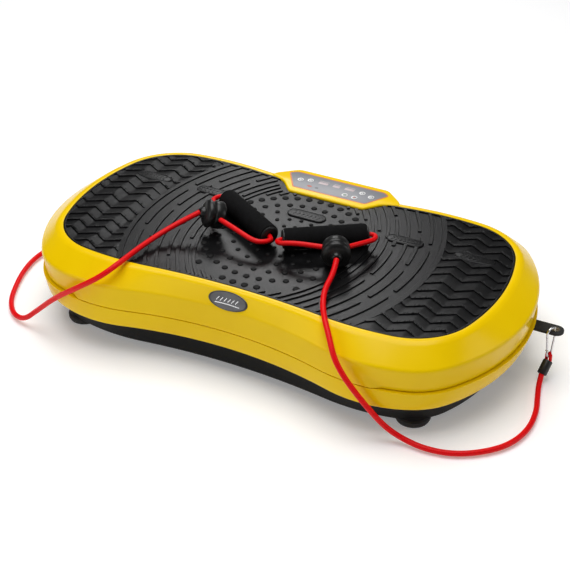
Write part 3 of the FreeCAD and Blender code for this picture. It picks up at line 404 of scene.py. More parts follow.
def join(name, objs):
    """One object from several that ride on the same body."""
    body = objs[0]["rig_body"]
    bpy.ops.object.select_all(action="DESELECT")
    for o in objs:
        o.select_set(True)
    bpy.context.view_layer.objects.active = objs[0]
    bpy.ops.object.join()
    objs[0].name = name
    objs[0]["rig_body"] = body
    return objs[0]


# ================================================================ outlines
def circle_meeting(c1, r1, c2, r2):
    """The meeting point of two circles that lies further towards +X and +Y."""
    dx, dy = c2[0] - c1[0], c2[1] - c1[1]
    gap = math.hypot(dx, dy)
    along = (gap * gap + r1 * r1 - r2 * r2) / (2 * gap)
    across = math.sqrt(r1 * r1 - along * along)
    ux, uy = dx / gap, dy / gap
    options = [(c1[0] + along * ux - s * across * uy, c1[1] + along * uy + s * across * ux) for s in (1, -1)]
    return max(options, key=lambda p: p[0] + p[1])


def quadrant(sizes, inset, count):
    """count points from the waist (x = 0) to the end (y = 0), evenly spaced along the curve."""
    end, waist, bulge = (v - inset for v in sizes[:3])
    waist_r = sizes[3] + inset
    shoulder_r, corner_r, end_r = (v - inset for v in sizes[4:])
    waist_c = (0.0, waist + waist_r)
    sy = bulge - shoulder_r
    shoulder_c = (math.sqrt((waist_r + shoulder_r) ** 2 - (waist_c[1] - sy) ** 2), sy)
    end_c = (end - end_r, 0.0)
    corner_c = circle_meeting(shoulder_c, shoulder_r - corner_r, end_c, end_r - corner_r)
    lean1 = math.atan2(shoulder_c[0] - waist_c[0], waist_c[1] - shoulder_c[1])
    ang2 = math.atan2(corner_c[1] - shoulder_c[1], corner_c[0] - shoulder_c[0])
    ang3 = math.atan2(corner_c[1] - end_c[1], corner_c[0] - end_c[0])
    spans = [(waist_c, waist_r, -math.pi / 2, -math.pi / 2 + lean1),
             (shoulder_c, shoulder_r, math.pi / 2 + lean1, ang2),
             (corner_c, corner_r, ang2, ang3),
             (end_c, end_r, ang3, 0.0)]
    lengths = [r * abs(b - a) for _, r, a, b in spans]
    total = sum(lengths)
    points = []
    for k in range(count + 1):
        s = total * k / count
        for (c, r, a, b), span in zip(spans, lengths):
            if s <= span + 1e-6:
                angle = a + (b - a) * s / span
                points.append((c[0] + r * math.cos(angle), c[1] + r * math.sin(angle)))
                break
            s -= span
    return points


def ring(sizes, inset=0.0, count=72):
    """The whole outline, anticlockwise from the +X end."""
    q = quadrant(sizes, inset, count)
    up = q[::-1]
    return (up[:-1] + [(-x, y) for x, y in q][:-1] + [(-x, -y) for x, y in up][:-1] + [(x, -y) for x, y in q][:-1])


def normals(points):
    """Outward directions at the points of a closed, anticlockwise outline."""
    result = []
    for before, after in zip(points[-1:] + points[:-1], points[1:] + points[:1]):
        dx, dy = after[0] - before[0], after[1] - before[1]
        span = math.hypot(dx, dy)
        result.append((dy / span, -dx / span))
    return result


def smoothstep(x):
    x = min(max(x, 0.0), 1.0)
    return x * x * (3 - 2 * x)


def rounded(points, radii, steps):
    """Polyline in space with its inner corners turned into short curves."""
    path = [points[0]]
    for i in range(1, len(points) - 1):
        p, back, ahead = points[i], points[i - 1] - points[i], points[i + 1] - points[i]
        reach = min(radii[i - 1], back.length * 0.49, ahead.length * 0.49)
        a, b = p + back.normalized() * reach, p + ahead.normalized() * reach
        for s in range(steps + 1):
            t = s / steps
            path.append(a * (1 - t) ** 2 + p * 2 * t * (1 - t) + b * t ** 2)
    path.append(points[-1])
    return path


def skin(name, rows_of_points, mats, body):
    """Closed band of quads through one profile per place round the body."""
    count, rows = len(rows_of_points), len(rows_of_points[0])
    verts = [tuple(p) for profile in rows_of_points for p in profile]
    faces = []
    for k in range(count):
        n = (k + 1) % count
        for r in range(rows - 1):
            faces.append((k * rows + r, n * rows + r, n * rows + r + 1, k * rows + r + 1))
    return mesh_object(name, verts, faces, mats, body)


# ================================================================ yellow shells
def top_cover():
    """Lip, rim, sloping band and wall; towards the ends the crease softens and the wall leans in at its foot."""
    mat, rim = ring(MAT_OUTLINE), ring(MAT_OUTLINE, -RIM_WIDTH)
    crease, wall = ring(CREASE_OUTLINE), ring(WALL_OUTLINE)
    lean_way = normals(wall)
    profiles = []
    for m, r, c, w, n in zip(mat, rim, crease, wall, lean_way):
        soft = smoothstep((abs(c[0]) - 120) / 150)
        inner = Vector((m[0], m[1], MAT_SIDE_FOOT))
        lip = Vector((m[0], m[1], 124.9))
        mid = Vector((m[0] * 0.5 + r[0] * 0.5, m[1] * 0.5 + r[1] * 0.5, 125.3))
        edge = Vector((r[0], r[1], 123.2))
        fold = Vector((c[0], c[1], CREASE))
        down = [fold]
        for z in (94.0, 86.0, 78.0, PARTING + PARTING_GAP):
            share = (CREASE - z) / (CREASE - PARTING)
            start = 165.0 + share * 42.0
            lean = 4.6 * share * smoothstep((abs(c[0] + (w[0] - c[0]) * share) - start) / 6.0)
            x = c[0] + (w[0] - c[0]) * share - n[0] * lean
            y = c[1] + (w[1] - c[1]) * share - n[1] * lean
            down.append(Vector((x, y, z)))
        foot = down[-1]
        under = Vector((foot.x - n[0] * 5, foot.y - n[1] * 5, foot.z))
        corners = [inner, lip, mid, edge] + down + [under]
        radii = [0.5, 5.0, 2.6, 2.5 + 13.0 * soft, 3, 3, 3, 0.7]
        profiles.append(rounded(corners, radii, 6))
    return skin("top_cover_skin", profiles, [YELLOW], "platform")


def lower_shell():
    wall, low = ring(WALL_OUTLINE), ring(LOWER_OUTLINE)
    way = normals(wall)
    top = PARTING - 0.4
    profiles = []
    for w, l, n in zip(wall, low, way):
        corners = [Vector((w[0] - n[0] * 8, w[1] - n[1] * 8, top)), Vector((w[0], w[1], top)),
                   Vector((w[0] * 0.35 + l[0] * 0.65 + n[0] * 0.8, w[1] * 0.35 + l[1] * 0.65 + n[1] * 0.8, 52.0)),
                   Vector((l[0], l[1], SHELL_BOTTOM)),
                   Vector((l[0] - n[0] * 9, l[1] - n[1] * 9, SHELL_BOTTOM))]
        profiles.append(rounded(corners, [1.2, 8.0, 3.0], 6))
    return skin("lower_shell_skin", profiles, [YELLOW], "platform")


def seam_band():
    """Inner wall seen through the gap between the two shells, coloured orange-brown as painted shade in the gap."""
    wall = ring(WALL_OUTLINE)
    way = normals(wall)
    inset, heights = 6.2, (PARTING - 2, PARTING + 3)
    profiles = [[Vector((w[0] - n[0] * inset, w[1] - n[1] * inset, z)) for z in heights] for w, n in zip(wall, way)]
    return skin("shell_seam_painted_shade", profiles, [SEAM_SHADE], "platform")


def panel_plan():
    half = [(67.5, 171.0), (92.5, 149.0), (97, 140.5), (74, 132.5), (59, 114.5), (55, 110.5)]
    return [(PANEL_X + x, y) for x, y in half + [(-x, y) for x, y in reversed(half)]]


def panel_housing():
    """Raised housing of the control panel, and the bulge under it on the rear wall."""
    plan = anticlockwise(round_polygon(panel_plan(), 6.0))
    low = anticlockwise(round_polygon([(60, 154), (74, 149), (78, 140), (60, 130), (-60, 130), (-78, 140), (-74, 149),
                                       (-60, 154)], 5.0))
    mid = anticlockwise(round_polygon([(69, 171.0), (91, 151.5), (100, 136), (75, 128), (-75, 128), (-100, 136),
                                       (-91, 151.5), (-69, 171.0)], 6.0))
    top = slab("panel_housing_top", plan, 104.0, PANEL_TOP, 2.2, [YELLOW], "platform", bottom=False)
    count = len(mid)
    verts, faces = [], []
    for points, z in ((low, PARTING + 2), (mid, CREASE - 3), (mid, CREASE + 4)):
        verts += [(PANEL_X + x, y, z) for x, y in points]
    for r in range(2):
        for k in range(count):
            n = (k + 1) % count
            faces.append((r * count + k, r * count + n, (r + 1) * count + n, (r + 1) * count + k))
    rear = mesh_object("panel_housing_rear", verts, faces, [YELLOW], "platform")
    return join("panel_housing", [top, rear])


# ================================================================ mat
def inside_mat(x, y, margin):
    return abs(y) < mat_half(x, margin)


HALF_TABLE = {}


def mat_half(x, margin):
    """Half width of the mat at x, less the margin."""
    key = round(margin, 2)
    if key not in HALF_TABLE:
        HALF_TABLE[key] = quadrant(MAT_OUTLINE, margin, 400)
    table = HALF_TABLE[key]
    x = abs(x)
    if x >= table[-1][0]:
        return -1.0
    for (x0, y0), (x1, y1) in zip(table, table[1:]):
        if x0 <= x <= x1 or (x1 < x0 and x > x0):
            return y0 + (y1 - y0) * ((x - x0) / (x1 - x0) if x1 != x0 else 0)
    return table[0][1]


def clear_of_panel(x, y):
    x = abs(x - PANEL_X)
    if y < 108.0:
        return True
    if x < 57:
        return False
    edge = [(57, 108.0), (62, 112.5), (77, 131.5), (102, 139.5)]
    for (x0, y0), (x1, y1) in zip(edge, edge[1:]):
        if x0 <= x <= x1:
            return y < y0 + (y1 - y0) * (x - x0) / (x1 - x0)
    return True


def on_mat(x, y, margin=3.5):
    return inside_mat(x, y, margin) and clear_of_panel(x, y)


def bar_strip(verts, faces, left, right, z0, z1):
    """Raised bar between two matching rows of points, with a small chamfer."""
    base = len(verts)
    chamfer = 0.35
    for (lx, ly), (rx, ry) in zip(left, right):
        dx, dy = rx - lx, ry - ly
        span = math.hypot(dx, dy)
        ux, uy = dx / span * chamfer, dy / span * chamfer
        verts += [(lx, ly, z0), (lx, ly, z1 - chamfer), (lx + ux, ly + uy, z1), (rx - ux, ry - uy, z1),
                  (rx, ry, z1 - chamfer), (rx, ry, z0)]
    for i in range(len(left) - 1):
        a, b = base + i * 6, base + (i + 1) * 6
        for k in range(5):
            faces.append((a + k, a + k + 1, b + k + 1, b + k))
    end = base + (len(left) - 1) * 6
    faces.append(tuple(base + k for k in range(6)))
    faces.append(tuple(end + k for k in reversed(range(6))))


def rib_bars():
    verts, faces = [], []
    for side in (-1, 1):
        for outer, spans in RIB_ROWS:
            for a0, a1 in spans:
                add_arc(verts, faces, side, outer - 4.6, outer, a0, a1, MAT_TOP)
        add_arc(verts, faces, side, ZONE_RING[0], ZONE_RING[1], -90, 90, MAT_TOP - 0.1)
    return mesh_object("mat_bars", verts, faces, [MAT_BLACK], "platform")


def add_arc(verts, faces, side, inner, outer, a0, a1, top):
    """Bar along an arc about (-RIB_CENTRE, 0), from a0 to a1 degrees as seen from the middle of the mat."""
    mid = (inner + outer) / 2
    run = []
    for step in range(-900, 901):
        phi = math.radians(step * 0.075)
        x, y = -RIB_CENTRE + mid * math.cos(phi), mid * math.sin(phi)
        angle = math.degrees(math.atan2(y, x))
        if a0 <= angle <= a1 and x > 3 and on_mat(x, y) and not under_label(x, y):
            run.append(phi)
        elif len(run) > 8:
            emit_arc(verts, faces, side, inner, outer, run, top)
            run = []
        else:
            run = []
    if len(run) > 8:
        emit_arc(verts, faces, side, inner, outer, run, top)


def emit_arc(verts, faces, side, inner, outer, run, top):
    run = run[::6] + ([run[-1]] if (len(run) - 1) % 6 else [])
    left = [(side * (-RIB_CENTRE + inner * math.cos(p)), inner * math.sin(p)) for p in run]
    right = [(side * (-RIB_CENTRE + outer * math.cos(p)), outer * math.sin(p)) for p in run]
    bar_strip(verts, faces, left, right, MAT_FLOOR - 0.3, top)


def under_label(x, y):
    return abs(x - 141) < 24 and abs(y - 62) < 8.0


def zigzag_at(x, peak):
    phase = ((abs(x) - ZIGZAG_X) / ZIGZAG_PERIOD) % 1.0
    return peak - ZIGZAG_SWING * 2 * min(phase, 1 - phase)


def zigzag_field():
    """Sawtooth rows: each drops at its zigzag line and ramps back up towards the front."""
    verts, faces = [], []
    for side in (-1, 1):
        for above, below in zip(ZIGZAG_PEAKS, ZIGZAG_PEAKS[1:]):
            x = ZIGZAG_SPAN[0]
            while x < ZIGZAG_SPAN[1]:
                zig_quads(verts, faces, side, x, min(x + ZIGZAG_STEP, ZIGZAG_SPAN[1]), above, below)
                x += ZIGZAG_STEP
    return mesh_object("mat_zigzag", verts, faces, [MAT_BLACK], "platform", merge=0.01)


def zone_limits(x):
    """Stretches of y at x that lie outside the rib zone and inside the mat."""
    top = mat_half(x, 2.6)
    if top <= 0:
        return []
    radius = ZONE_RING[1] - 1.5
    reach = radius * radius - (x + RIB_CENTRE) ** 2
    if reach <= 0:
        return [(-top, top)]
    gap = math.sqrt(reach)
    return [(-top, -gap), (gap, top)] if gap < top else []


def zig_quads(verts, faces, side, x0, x1, above, below):
    limits0, limits1 = zone_limits(x0), zone_limits(x1)
    if not limits1:
        return
    if len(limits0) != len(limits1):
        limits0 = limits1
    for (lo0, hi0), (lo1, hi1) in zip(limits0, limits1):
        cuts0, cuts1 = sawtooth(x0, above, below), sawtooth(x1, above, below)
        for (ya0, za), (yb0, zb), (ya1, _), (yb1, _) in zip(cuts0, cuts0[1:], cuts1, cuts1[1:]):
            pts = []
            for x, ya, yb, lo, hi in ((x0, ya0, yb0, lo0, hi0), (x1, ya1, yb1, lo1, hi1)):
                for y, other, z, oz in ((ya, yb, za, zb), (yb, ya, zb, za)):
                    yc = min(max(y, lo), hi)
                    share = 0.0 if y == other else (yc - y) / (other - y)
                    pts.append((side * x, yc, z + (oz - z) * min(max(share, 0.0), 1.0)))
            a, b, c, d = pts
            flat = abs(a[1] - b[1]) < 1e-4 and abs(c[1] - d[1]) < 1e-4
            if flat and abs(za - zb) < 0.5:
                continue
            if flat and (cuts0[0][0] > hi0 + 0.01 or cuts0[0][0] < lo0 - 0.01):
                continue
            base = len(verts)
            verts += [a, b, d, c]
            faces.append((base, base + 1, base + 2, base + 3))


def sawtooth(x, above, below):
    top, bottom = zigzag_at(x, above), zigzag_at(x, below)
    flat = bottom + min(4.5, (top - bottom) * 0.25)
    return [(top, MAT_TOP), (top - 0.35, MAT_TOP - RELIEF), (flat, MAT_TOP - 0.12), (bottom + 0.01, MAT_TOP)]


def dots():
    """Low domes on rings about the middle of the mat, coloured a darker black than the mat as painted shade."""
    places = []
    for radius, first, step, count, size in ((123.0, 266.25, -7.5, 8, 4.6), (123.0, 273.75, 7.5, 8, 4.6),
                                             (104.2, 270.3, 9.25, 6, 4.2), (104.2, 261.0, -9.25, 6, 4.2),
                                             (103.6, 90.0, 9.0, 9, 4.6), (103.6, 81.0, -9.0, 9, 4.6),
                                             (85.6, 270.4, 13.4, 6, 3.8), (85.6, 257.0, -13.4, 6, 3.8),
                                             (84.2, 90.0, 11.4, 7, 4.1), (84.2, 78.6, -11.4, 7, 4.1)):
        places += [(radius, first + step * k, size) for k in range(count)]
    places += [(66.5, 270.0 + 18.0 * k, 3.4) for k in range(20)]
    places += [(46.5, 90.0 + 20.0 * k, 2.9) for k in range(18)]
    places += [(28.5, 90.0 + 30.0 * k, 2.6) for k in range(12)]
    verts, faces = [], []
    for radius, angle, size in places:
        x, y = radius * math.cos(math.radians(angle)), radius * math.sin(math.radians(angle))
        lens = math.hypot(abs(x) + RIB_CENTRE, y)
        if lens > 190.5 or not on_mat(x, y, 6.0) or (abs(x) < 31 and abs(y - 62) < 13.5):
            continue
        if abs(x) > 25 and math.hypot(abs(x) + RIB_CENTRE, y) > 166 and abs(y) > 80 and in_short_bars(x, y):
            continue
        dome(verts, faces, x, y, size)
    return mesh_object("mat_dots", verts, faces, [DOT_SHADE_BLACK], "platform")


def in_short_bars(x, y):
    reach = math.hypot(abs(x) + RIB_CENTRE, y)
    angle = math.degrees(math.atan2(y, abs(x)))
    for outer, spans in RIB_ROWS[7:]:
        if outer - 9.5 < reach < outer + 5 and any(a0 - 3 <= angle <= a1 + 3 for a0, a1 in spans):
            return True
    return False


def dome(verts, faces, x, y, size):
    rows = [(1.0, 0.0), (0.93, 0.62), (0.80, 0.95), (0.55, 1.12), (0.28, 1.2), (0.01, 1.22)]
    base, around = len(verts), 20
    for share, height in rows:
        for k in range(around):
            a = 2 * math.pi * k / around
            verts.append((x + size * share * math.cos(a), y + size * share * math.sin(a),
                          MAT_FLOOR + height * RELIEF / 1.22))
    for r in range(len(rows) - 1):
        for k in range(around):
            n = (k + 1) % around
            faces.append((base + r * around + k, base + r * around + n, base + (r + 1) * around + n,
                          base + (r + 1) * around + k))


def mat_base():
    """Floor of the mat's pattern, and the plain band that runs round its edge."""
    edge, inner = ring(MAT_OUTLINE, 0.5, 90), ring(MAT_OUTLINE, 3.2, 90)
    verts = [(x, y, MAT_FLOOR) for x, y in ring(MAT_OUTLINE, 0.6, 90)]
    faces = [tuple(range(len(verts)))]
    floor = mesh_object("mat_floor", verts, faces, [MAT_BLACK], "platform", smooth=False)
    profiles = []
    for e, i in zip(edge, inner):
        profiles.append(rounded([Vector((e[0], e[1], MAT_SIDE_FOOT)), Vector((e[0], e[1], MAT_TOP)),
                                 Vector((i[0], i[1], MAT_TOP)), Vector((i[0], i[1], MAT_FLOOR - 0.2))],
                                [0.5, 0.4], 3))
    border = skin("mat_border", profiles, [MAT_BLACK], "platform")
    return [floor, border]


def capsule(cx, cy, half_length, half_width, pointed=0.0):
    """Stadium outline, drawn out to points where asked."""
    points = []
    for k in range(48):
        a = 2 * math.pi * k / 48
        x, y = math.cos(a), math.sin(a)
        if pointed:
            points.append((cx + half_length * x, cy + half_width * math.copysign(abs(y) ** 0.75, y)))
        else:
            straight = half_length - half_width
            points.append((cx + half_width * x + math.copysign(straight, x), cy + half_width * y))
    return points


def chevron(cx, cy, z0, z1, side, verts, faces):
    """Small raised arrow mark."""
    arm, wide, thick = 4.0, 2.6, 1.5
    left = [(cx - side * wide / 2, cy + arm), (cx + side * wide / 2, cy), (cx - side * wide / 2, cy - arm)]
    right = [(x + side * thick, y) for x, y in left]
    bar_strip(verts, faces, left, right, z0, z1)


def labels():
    """Raised name pads with plain arrow marks in place of words."""
    objs, verts, faces = [], [], []
    for cx, half_l, half_w, marks, pointed in ((0, 27.5, 9.6, 7, 0), (-141, 25, 8.6, 7, 0), (141, 25, 8.6, 7, 0),
                                               (-236, 27, 9.5, 7, 1), (236, 27, 9.5, 7, 1)):
        side = -1 if cx < 0 else 1
        outer = capsule(cx, 62, half_l, half_w, pointed)
        objs.append(slab(f"label_{cx}", outer, MAT_FLOOR - 0.2, MAT_TOP + 0.1, 0.7, [MAT_BLACK], "platform",
                         bottom=False))
        rim_in = offset_polygon(anticlockwise(outer), -1.6)
        rim_out = offset_polygon(anticlockwise(outer), -0.7)
        rim_in.append(rim_in[0])
        rim_out.append(rim_out[0])
        bar_strip(verts, faces, rim_in, rim_out, MAT_TOP - 0.2, MAT_TOP + 0.55)
        for k in range(marks):
            chevron(cx + (k - (marks - 1) / 2) * 5.7, 62, MAT_TOP - 0.2, MAT_TOP + 0.6, side, verts, faces)
    objs.append(mesh_object("label_marks", verts, faces, [MAT_BLACK], "platform"))
    return objs


# ================================================================ control panel
def disc_mesh(name, cx, cy, radius, z0, z1, mats, body, bevel=0.25, squeeze=1.0):
    points = [(cx + radius * math.cos(2 * math.pi * k / 40), cy + radius * squeeze * math.sin(2 * math.pi * k / 40))
              for k in range(40)]
    return slab(name, points, z0, z1, bevel, mats, body)


def panel():
    objs = []
    outer = round_polygon(OVERLAY_OUTLINE, 3.5)
    field = offset_polygon(anticlockwise(outer), -1.9)
    objs.append(slab("panel_border", outer, PANEL_TOP - 0.6, PANEL_TOP + 0.12, 0.1, [ORANGE], "platform"))
    objs.append(slab("panel_field", field, PANEL_TOP - 0.4, PANEL_TOP + 0.22, 0.1, [FILM], "platform"))
    for k, (x, y, length) in enumerate(WINDOWS):
        half = length / 2
        corners = [(x - half, y - 2.8), (x + half, y - 2.8), (x + half, y + 2.8), (x - half, y + 2.8)]
        box = round_polygon(corners, 0.8, 3)
        objs.append(slab(f"panel_window_{k}", box, PANEL_TOP, PANEL_TOP + 0.32, 0.08, [PALE], "platform"))
        cap = [(x - half, y + 4.6), (x + half, y + 4.6), (x + half, y + 5.6), (x - half, y + 5.6)]
        objs.append(slab(f"panel_caption_{k}", cap, PANEL_TOP, PANEL_TOP + 0.28, 0, [PALE], "platform"))
    for name, x, y, radius, top, mat, bevel, squeeze in (("panel_lamp", -31, 132, 3.6, 0.34, KEY_RED, 0.1, 0.6),
                                                         ("panel_mark", -20, 131.5, 2.6, 0.28, KEY_GREY, 0.05, 0.8)):
        objs.append(disc_mesh(name, x, y, radius, PANEL_TOP, PANEL_TOP + top, [mat], "platform", bevel, squeeze))
    overlay = join("panel_print", objs)
    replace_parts(overlay, "panel_overlay", "display_windows")
    icons = [KEY_WHITE] * 4 + [KEY_GREEN, KEY_RED]
    for number, ((x, y), icon) in enumerate(zip(KEY_PLACES, icons), 1):
        body = f"key_{number}"
        face = disc_mesh(f"key_face_{number}", x, y, KEY_RADIUS, PANEL_TOP - 4, PANEL_TOP + 0.85, [KEY_WHITE],
                         body, 0.3)
        field_disc = disc_mesh(f"key_field_{number}", x + 0.5, y - 0.4, 2.8, PANEL_TOP, PANEL_TOP + 0.89, [FILM],
                               body, 0.02)
        mark = disc_mesh(f"key_mark_{number}", x, y, 1.5, PANEL_TOP, PANEL_TOP + 0.93, [icon], body, 0.02, 0.8)
        cap = join(f"key_cap_{number}", [face, field_disc, mark])
        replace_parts(cap, f"panel_key_{number}")
    return overlay


# ================================================================ badge
def badge():
    """Oval plate on the sloping band, with slanted strokes and a line under them."""
    run = CREASE_OUTLINE[1] - MAT_OUTLINE[1] - RIM_WIDTH
    lean = math.atan2(RIM_SHOULDER - CREASE, run)
    along = Vector((0, -math.cos(lean), -math.sin(lean)))
    out = Vector((0, -math.sin(lean), math.cos(lean)))
    middle = Vector((0, -149.0, 112.6))
    rows = [(1.0, -0.4), (1.0, 0.7), (0.975, 1.1), (0.93, 1.2), (0.90, 0.95), (0.0001, 1.05)]
    verts, faces, picks = [], [], []
    around = 72
    for share, height in rows:
        for k in range(around):
            a = 2 * math.pi * k / around
            verts.append(middle + Vector((BADGE_HALF[0] * share * math.cos(a), 0, 0))
                         + along * (BADGE_HALF[1] * share * math.sin(a)) + out * height)
    for r in range(len(rows) - 1):
        for k in range(around):
            n = (k + 1) % around
            faces.append((r * around + k, r * around + n, (r + 1) * around + n, (r + 1) * around + k))
            picks.append(0 if r < 4 else 1)
    plate = mesh_object("badge_plate", verts, faces, [BADGE_RIM, BADGE_GREY], "platform", picks, merge=0.01)
    marks, mark_faces = [], []

    def stroke(points, width):
        base = len(marks)
        for u, v in points:
            for shift in (-width / 2, width / 2):
                marks.append(middle + Vector((u, 0, 0)) + along * (v + shift) + out * 1.25)
        for i in range(len(points) - 1):
            mark_faces.append((base + 2 * i, base + 2 * i + 1, base + 2 * i + 3, base + 2 * i + 2))

    for k in range(6):
        x0 = -15.5 + k * 5.2
        stroke([(x0, 1.6), (x0 + 1.5, -0.6), (x0 + 3.4, -3.0)], 1.5)
    stroke([(-17 + 2.1 * k, 4.6 - 0.8 * math.sin(k / 16 * math.pi)) for k in range(17)], 1.0)
    lines = mesh_object("badge_marks", marks, mark_faces, [SILVER], "platform", smooth=False)
    whole = join("badge_whole", [plate, lines])
    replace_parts(whole, "badge")
    return whole


# ================================================================ handles, connectors and cords
def handle(name, ends):
    a, b = (Vector((x, y, HANDLE_Z)) for x, y in ends)
    way = (b - a).normalized()
    length = (b - a).length
    body = f"{name}_grip"
    near = [(2.6, 6.2), (2.6, 12.0), (3.3, 13.2), (4.8, FOAM_RADIUS)]
    far = [(length - along, radius) for along, radius in reversed(near)]
    foam = lathe(f"{name}_foam", near + far, a, way, [FOAM_BLACK], body, 96)
    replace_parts(foam, f"{name}_grip_foam")
    caps = []
    for start, sense in ((0.0, 1.0), (length, -1.0)):
        profile = [(0.9, 4.5), (0.2, 5.2), (0.2, 10.2), (0.9, 11.6), (1.8, CAP_RADIUS), (2.9, CAP_RADIUS), (2.9, 6.0),
                   (14.0, 6.0), (14.0, 4.5), (0.9, 4.5)]
        caps.append(lathe(f"{name}_cap", profile, a + way * start, way * sense, [PLASTIC_BLACK], body, 72))
    core = join(f"{name}_core", caps)
    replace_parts(core, f"{name}_grip_core")
    return foam


def connector(name, spec):
    """Round joiner: grooved hub, domed cap and the nose that the main cord leaves."""
    centre, way = Vector(spec[0]), Vector(spec[1]).normalized()
    profile = [(-7.5, 0.0), (-7.5, 11.5), (-7.9, 12.4), (-7.4, 15.0), (-6.2, 17.0), (-4.5, 17.9), (4.2, 17.9),
               (5.8, 17.2), (6.7, 15.9), (7.6, 15.1), (8.9, 15.2), (9.6, 17.4), (11.0, 18.4), (13.6, 18.4),
               (15.6, 17.2), (17.4, 14.6), (18.2, 12.0), (18.5, 9.0), (18.9, 7.2), (21.4, 6.6), (23.2, 5.8),
               (24.0, 4.7), (24.0, 3.4)]
    whole = lathe(f"{name}_joiner", profile, centre, way, [PLASTIC_BLACK], "platform", 96)
    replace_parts(whole, f"{name}_connector")
    return whole


def cord(name, points, diameter):
    """Round cord on a quadratic NURBS curve whose control points are the route points."""
    curve = bpy.data.curves.new(name, "CURVE")
    curve.dimensions = "3D"
    spline = curve.splines.new("NURBS")
    spline.points.add(len(points) - 1)
    for point, (x, y, z) in zip(spline.points, points):
        point.co = (x * MM, y * MM, z * MM, 1.0)
    spline.order_u = 3
    spline.use_endpoint_u = True
    spline.resolution_u = 12
    curve.resolution_u = 12
    curve.bevel_depth = diameter / 2 * MM
    curve.bevel_resolution = 8
    curve.use_fill_caps = True
    curve.materials.append(CORD_RED)
    obj = bpy.data.objects.new(name, curve)
    bpy.context.scene.collection.objects.link(obj)
    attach(obj, "platform")
    return obj


def clip_foot(side):
    """Lowest point of the hook's middle line, and its turn about Z."""
    turn = CLIP_TURN if side > 0 else math.pi - CLIP_TURN
    return Vector((side * EYELET_X + CLIP_TOP_RADIUS * math.cos(turn), TAB_Y + CLIP_TOP_RADIUS * math.sin(turn),
                   CLIP_FOOT_Z)), turn


def cord_eye(name, side):
    """Cord bent back over the hook's foot, both legs running into the sleeve."""
    foot, turn = clip_foot(side)
    across = Vector((math.cos(turn + math.pi / 2), math.sin(turn + math.pi / 2), 0)) * EYE_HALF_WIDTH
    high = foot + Vector((0, 0, -6.5))
    crown = foot + Vector((0, 0, 5.0))
    knee = crown - Vector((0, 0, EYE_HALF_WIDTH))
    bend = [knee + across * math.cos(a) + Vector((0, 0, EYE_HALF_WIDTH * math.sin(a))) for a in
            (math.pi * k / 16 for k in range(17))]
    return tube(name, [high + across] + bend + [high - across], EYE_RADIUS, [CORD_RED], "platform")


def sleeve(name, route, side):
    foot, _ = clip_foot(side)
    low, high = Vector(route[-1]), foot + Vector((0, 0, -6.5))
    way = (high - low).normalized()
    length = (high - low).length
    profile = [(-0.3, 0.0), (-0.3, 4.6), (0.3, 5.8), (1.2, SLEEVE_RADIUS), (length - 1.2, SLEEVE_RADIUS),
               (length - 0.2, 5.9), (length, 5.3), (length, 0.0)]
    return lathe(name, profile, low, way, [SLEEVE_BLACK], "platform", 48)


def cords():
    sleeves = [sleeve("left_sleeve", LEFT_ROUTE, -1), sleeve("right_sleeve", RIGHT_ROUTE, 1)]
    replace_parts(sleeves[0], "cord_sleeves")
    for name, side, route, loop, spec, cover in (
            ("left", -1, LEFT_ROUTE, LEFT_LOOP, LEFT_CONNECTOR, sleeves[0]),
            ("right", 1, RIGHT_ROUTE, RIGHT_LOOP, RIGHT_CONNECTOR, sleeves[1])):
        joiner = connector(name, spec)
        main = cord(f"{name}_cord_line", route, CORD_DIAMETER)
        eye = cord_eye(f"{name}_eye_line", side)
        ring_line = cord(f"{name}_loop_line", loop, LOOP_DIAMETER)
        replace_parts(main, f"{name}_cord")
        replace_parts(ring_line, f"{name}_handle_loop")


# ================================================================ CAD nodes that show as they are
def finish_cad_nodes():
    looks = {"base_pan": BASE_BLACK, "rubber_feet": FOOT_BLACK, "base_plate": PAINTED, "base_screws": STEEL,
             "bearing_blocks": CAST, "pivot_bushes": BRASS, "end_bumpers": FOOT_BLACK, "crank_bearings": STEEL,
             "motor_housing": STEEL, "motor_magnets": BLOCKS, "motor_saddles": CAST, "drive_belt": FOOT_BLACK,
             "driver_board": BOARD, "driver_board_parts": BLOCKS, "power_inlet": BASE_BLACK, "inlet_pins": BRASS,
             "switch_frame": BASE_BLACK, "switch_rocker": PLASTIC_BLACK, "deck_plate": PAINTED, "deck_rails": PAINTED,
             "pivot_lugs": PAINTED, "pivot_shaft": STEEL, "crank_yoke": PAINTED, "display_board": BOARD,
             "crank_shaft": STEEL, "driven_pulley": CAST, "eccentric_bearing": STEEL, "motor_rotor": COPPER,
             "motor_pulley": CAST, "anchor_tabs": WEBBING, "anchor_eyelets": EYELET, "left_carabiner": SILVER,
             "right_carabiner": SILVER, "left_gate": SILVER, "right_gate": SILVER}
    for name, obj in frame["nodes"].items():
        if name in looks:
            obj.data.materials.clear()
            obj.data.materials.append(looks[name])


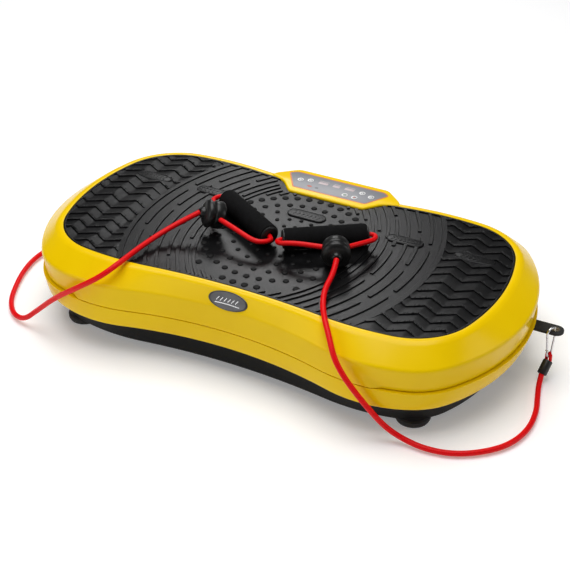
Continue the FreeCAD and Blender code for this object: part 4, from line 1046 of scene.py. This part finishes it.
# ================================================================ stage
def area_light(name, place, target, size, power, color=(1, 1, 1)):
    light = bpy.data.lights.new(name, "AREA")
    light.shape = "RECTANGLE"
    light.size, light.size_y = size
    light.energy = power
    light.color = color
    obj = bpy.data.objects.new(name, light)
    bpy.context.scene.collection.objects.link(obj)
    obj.location = place
    obj.rotation_euler = (Vector(target) - Vector(place)).to_track_quat("-Z", "Y").to_euler()
    obj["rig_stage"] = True


def stage():
    mat, nodes, links, bsdf = node_set("floor")
    noise = nodes.new("ShaderNodeTexNoise")
    noise.inputs["Scale"].default_value = 3
    ramp = nodes.new("ShaderNodeValToRGB")
    ramp.color_ramp.elements[0].color = rgb(0.86, 0.86, 0.865)
    ramp.color_ramp.elements[1].color = rgb(0.88, 0.88, 0.885)
    links.new(noise.outputs["Fac"], ramp.inputs["Fac"])
    links.new(ramp.outputs["Color"], bsdf.inputs["Base Color"])
    bsdf.inputs["Roughness"].default_value = 0.6
    bsdf.inputs["Emission Color"].default_value = rgb(1.0, 1.0, 1.0)
    bsdf.inputs["Emission Strength"].default_value = 0.22
    bpy.ops.mesh.primitive_plane_add(size=14, location=(0, 0, -0.0008))
    floor = bpy.context.object
    floor.name = "floor"
    floor.data.materials.append(mat)
    floor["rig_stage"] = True
    world = bpy.data.worlds.new("studio")
    world.use_nodes = True
    world.node_tree.nodes["Background"].inputs["Color"].default_value = (1.0, 1.0, 1.0, 1)
    world.node_tree.nodes["Background"].inputs["Strength"].default_value = 0.06
    bpy.context.scene.world = world
    bpy.context.scene.view_settings.view_transform = "Standard"
    area_light("top softbox", (-0.2, 0.0, 2.6), (0.0, 0.15, 0.1), (2.6, 2.2), 72)
    area_light("back strip", (-0.70, 1.34, 1.10), (0.0, 0.0, 0.12), (0.55, 0.30), 4.5)
    area_light("front fill", (-1.3, -2.1, 1.1), (0.0, 0.0, 0.05), (1.6, 1.2), 11)
    area_light("right fill", (2.4, 0.6, 1.1), (0.2, 0.0, 0.05), (1.2, 1.0), 8)


def camera():
    cam = bpy.data.cameras.new("camera")
    cam.lens = 86.33
    cam.sensor_width = 36.0
    cam.clip_start = 0.05
    cam.dof.use_dof = False
    obj = bpy.data.objects.new("camera", cam)
    bpy.context.scene.collection.objects.link(obj)
    obj.location = (0.6964, -1.3403, 1.0228)
    look = Vector((-0.3877, 0.7462, -0.5412))
    obj.rotation_euler = look.to_track_quat("-Z", "Y").to_euler()
    bpy.context.scene.camera = obj


# ================================================================ build
camera()
stage()
cords()
finish_cad_nodes()
shell = top_cover()
housing = panel_housing()
cover = join("top_cover_whole", [shell, housing, seam_band()])
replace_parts(cover, "top_cover")
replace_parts(lower_shell(), "lower_shell")
mat_pieces = mat_base() + [rib_bars(), zigzag_field(), dots()] + labels()
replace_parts(join("mat_whole", mat_pieces), "anti_slip_mat")
panel()
badge()
for side_name, handle_ends in (("left", LEFT_HANDLE), ("right", RIGHT_HANDLE)):
    handle(side_name, handle_ends)

finished_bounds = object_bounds()
({"loaded": [list(map(float, v)) if hasattr(v, "__len__") else float(v) for v in loaded_bounds],
           "finished": [list(map(float, v)) if hasattr(v, "__len__") else float(v) for v in finished_bounds]})
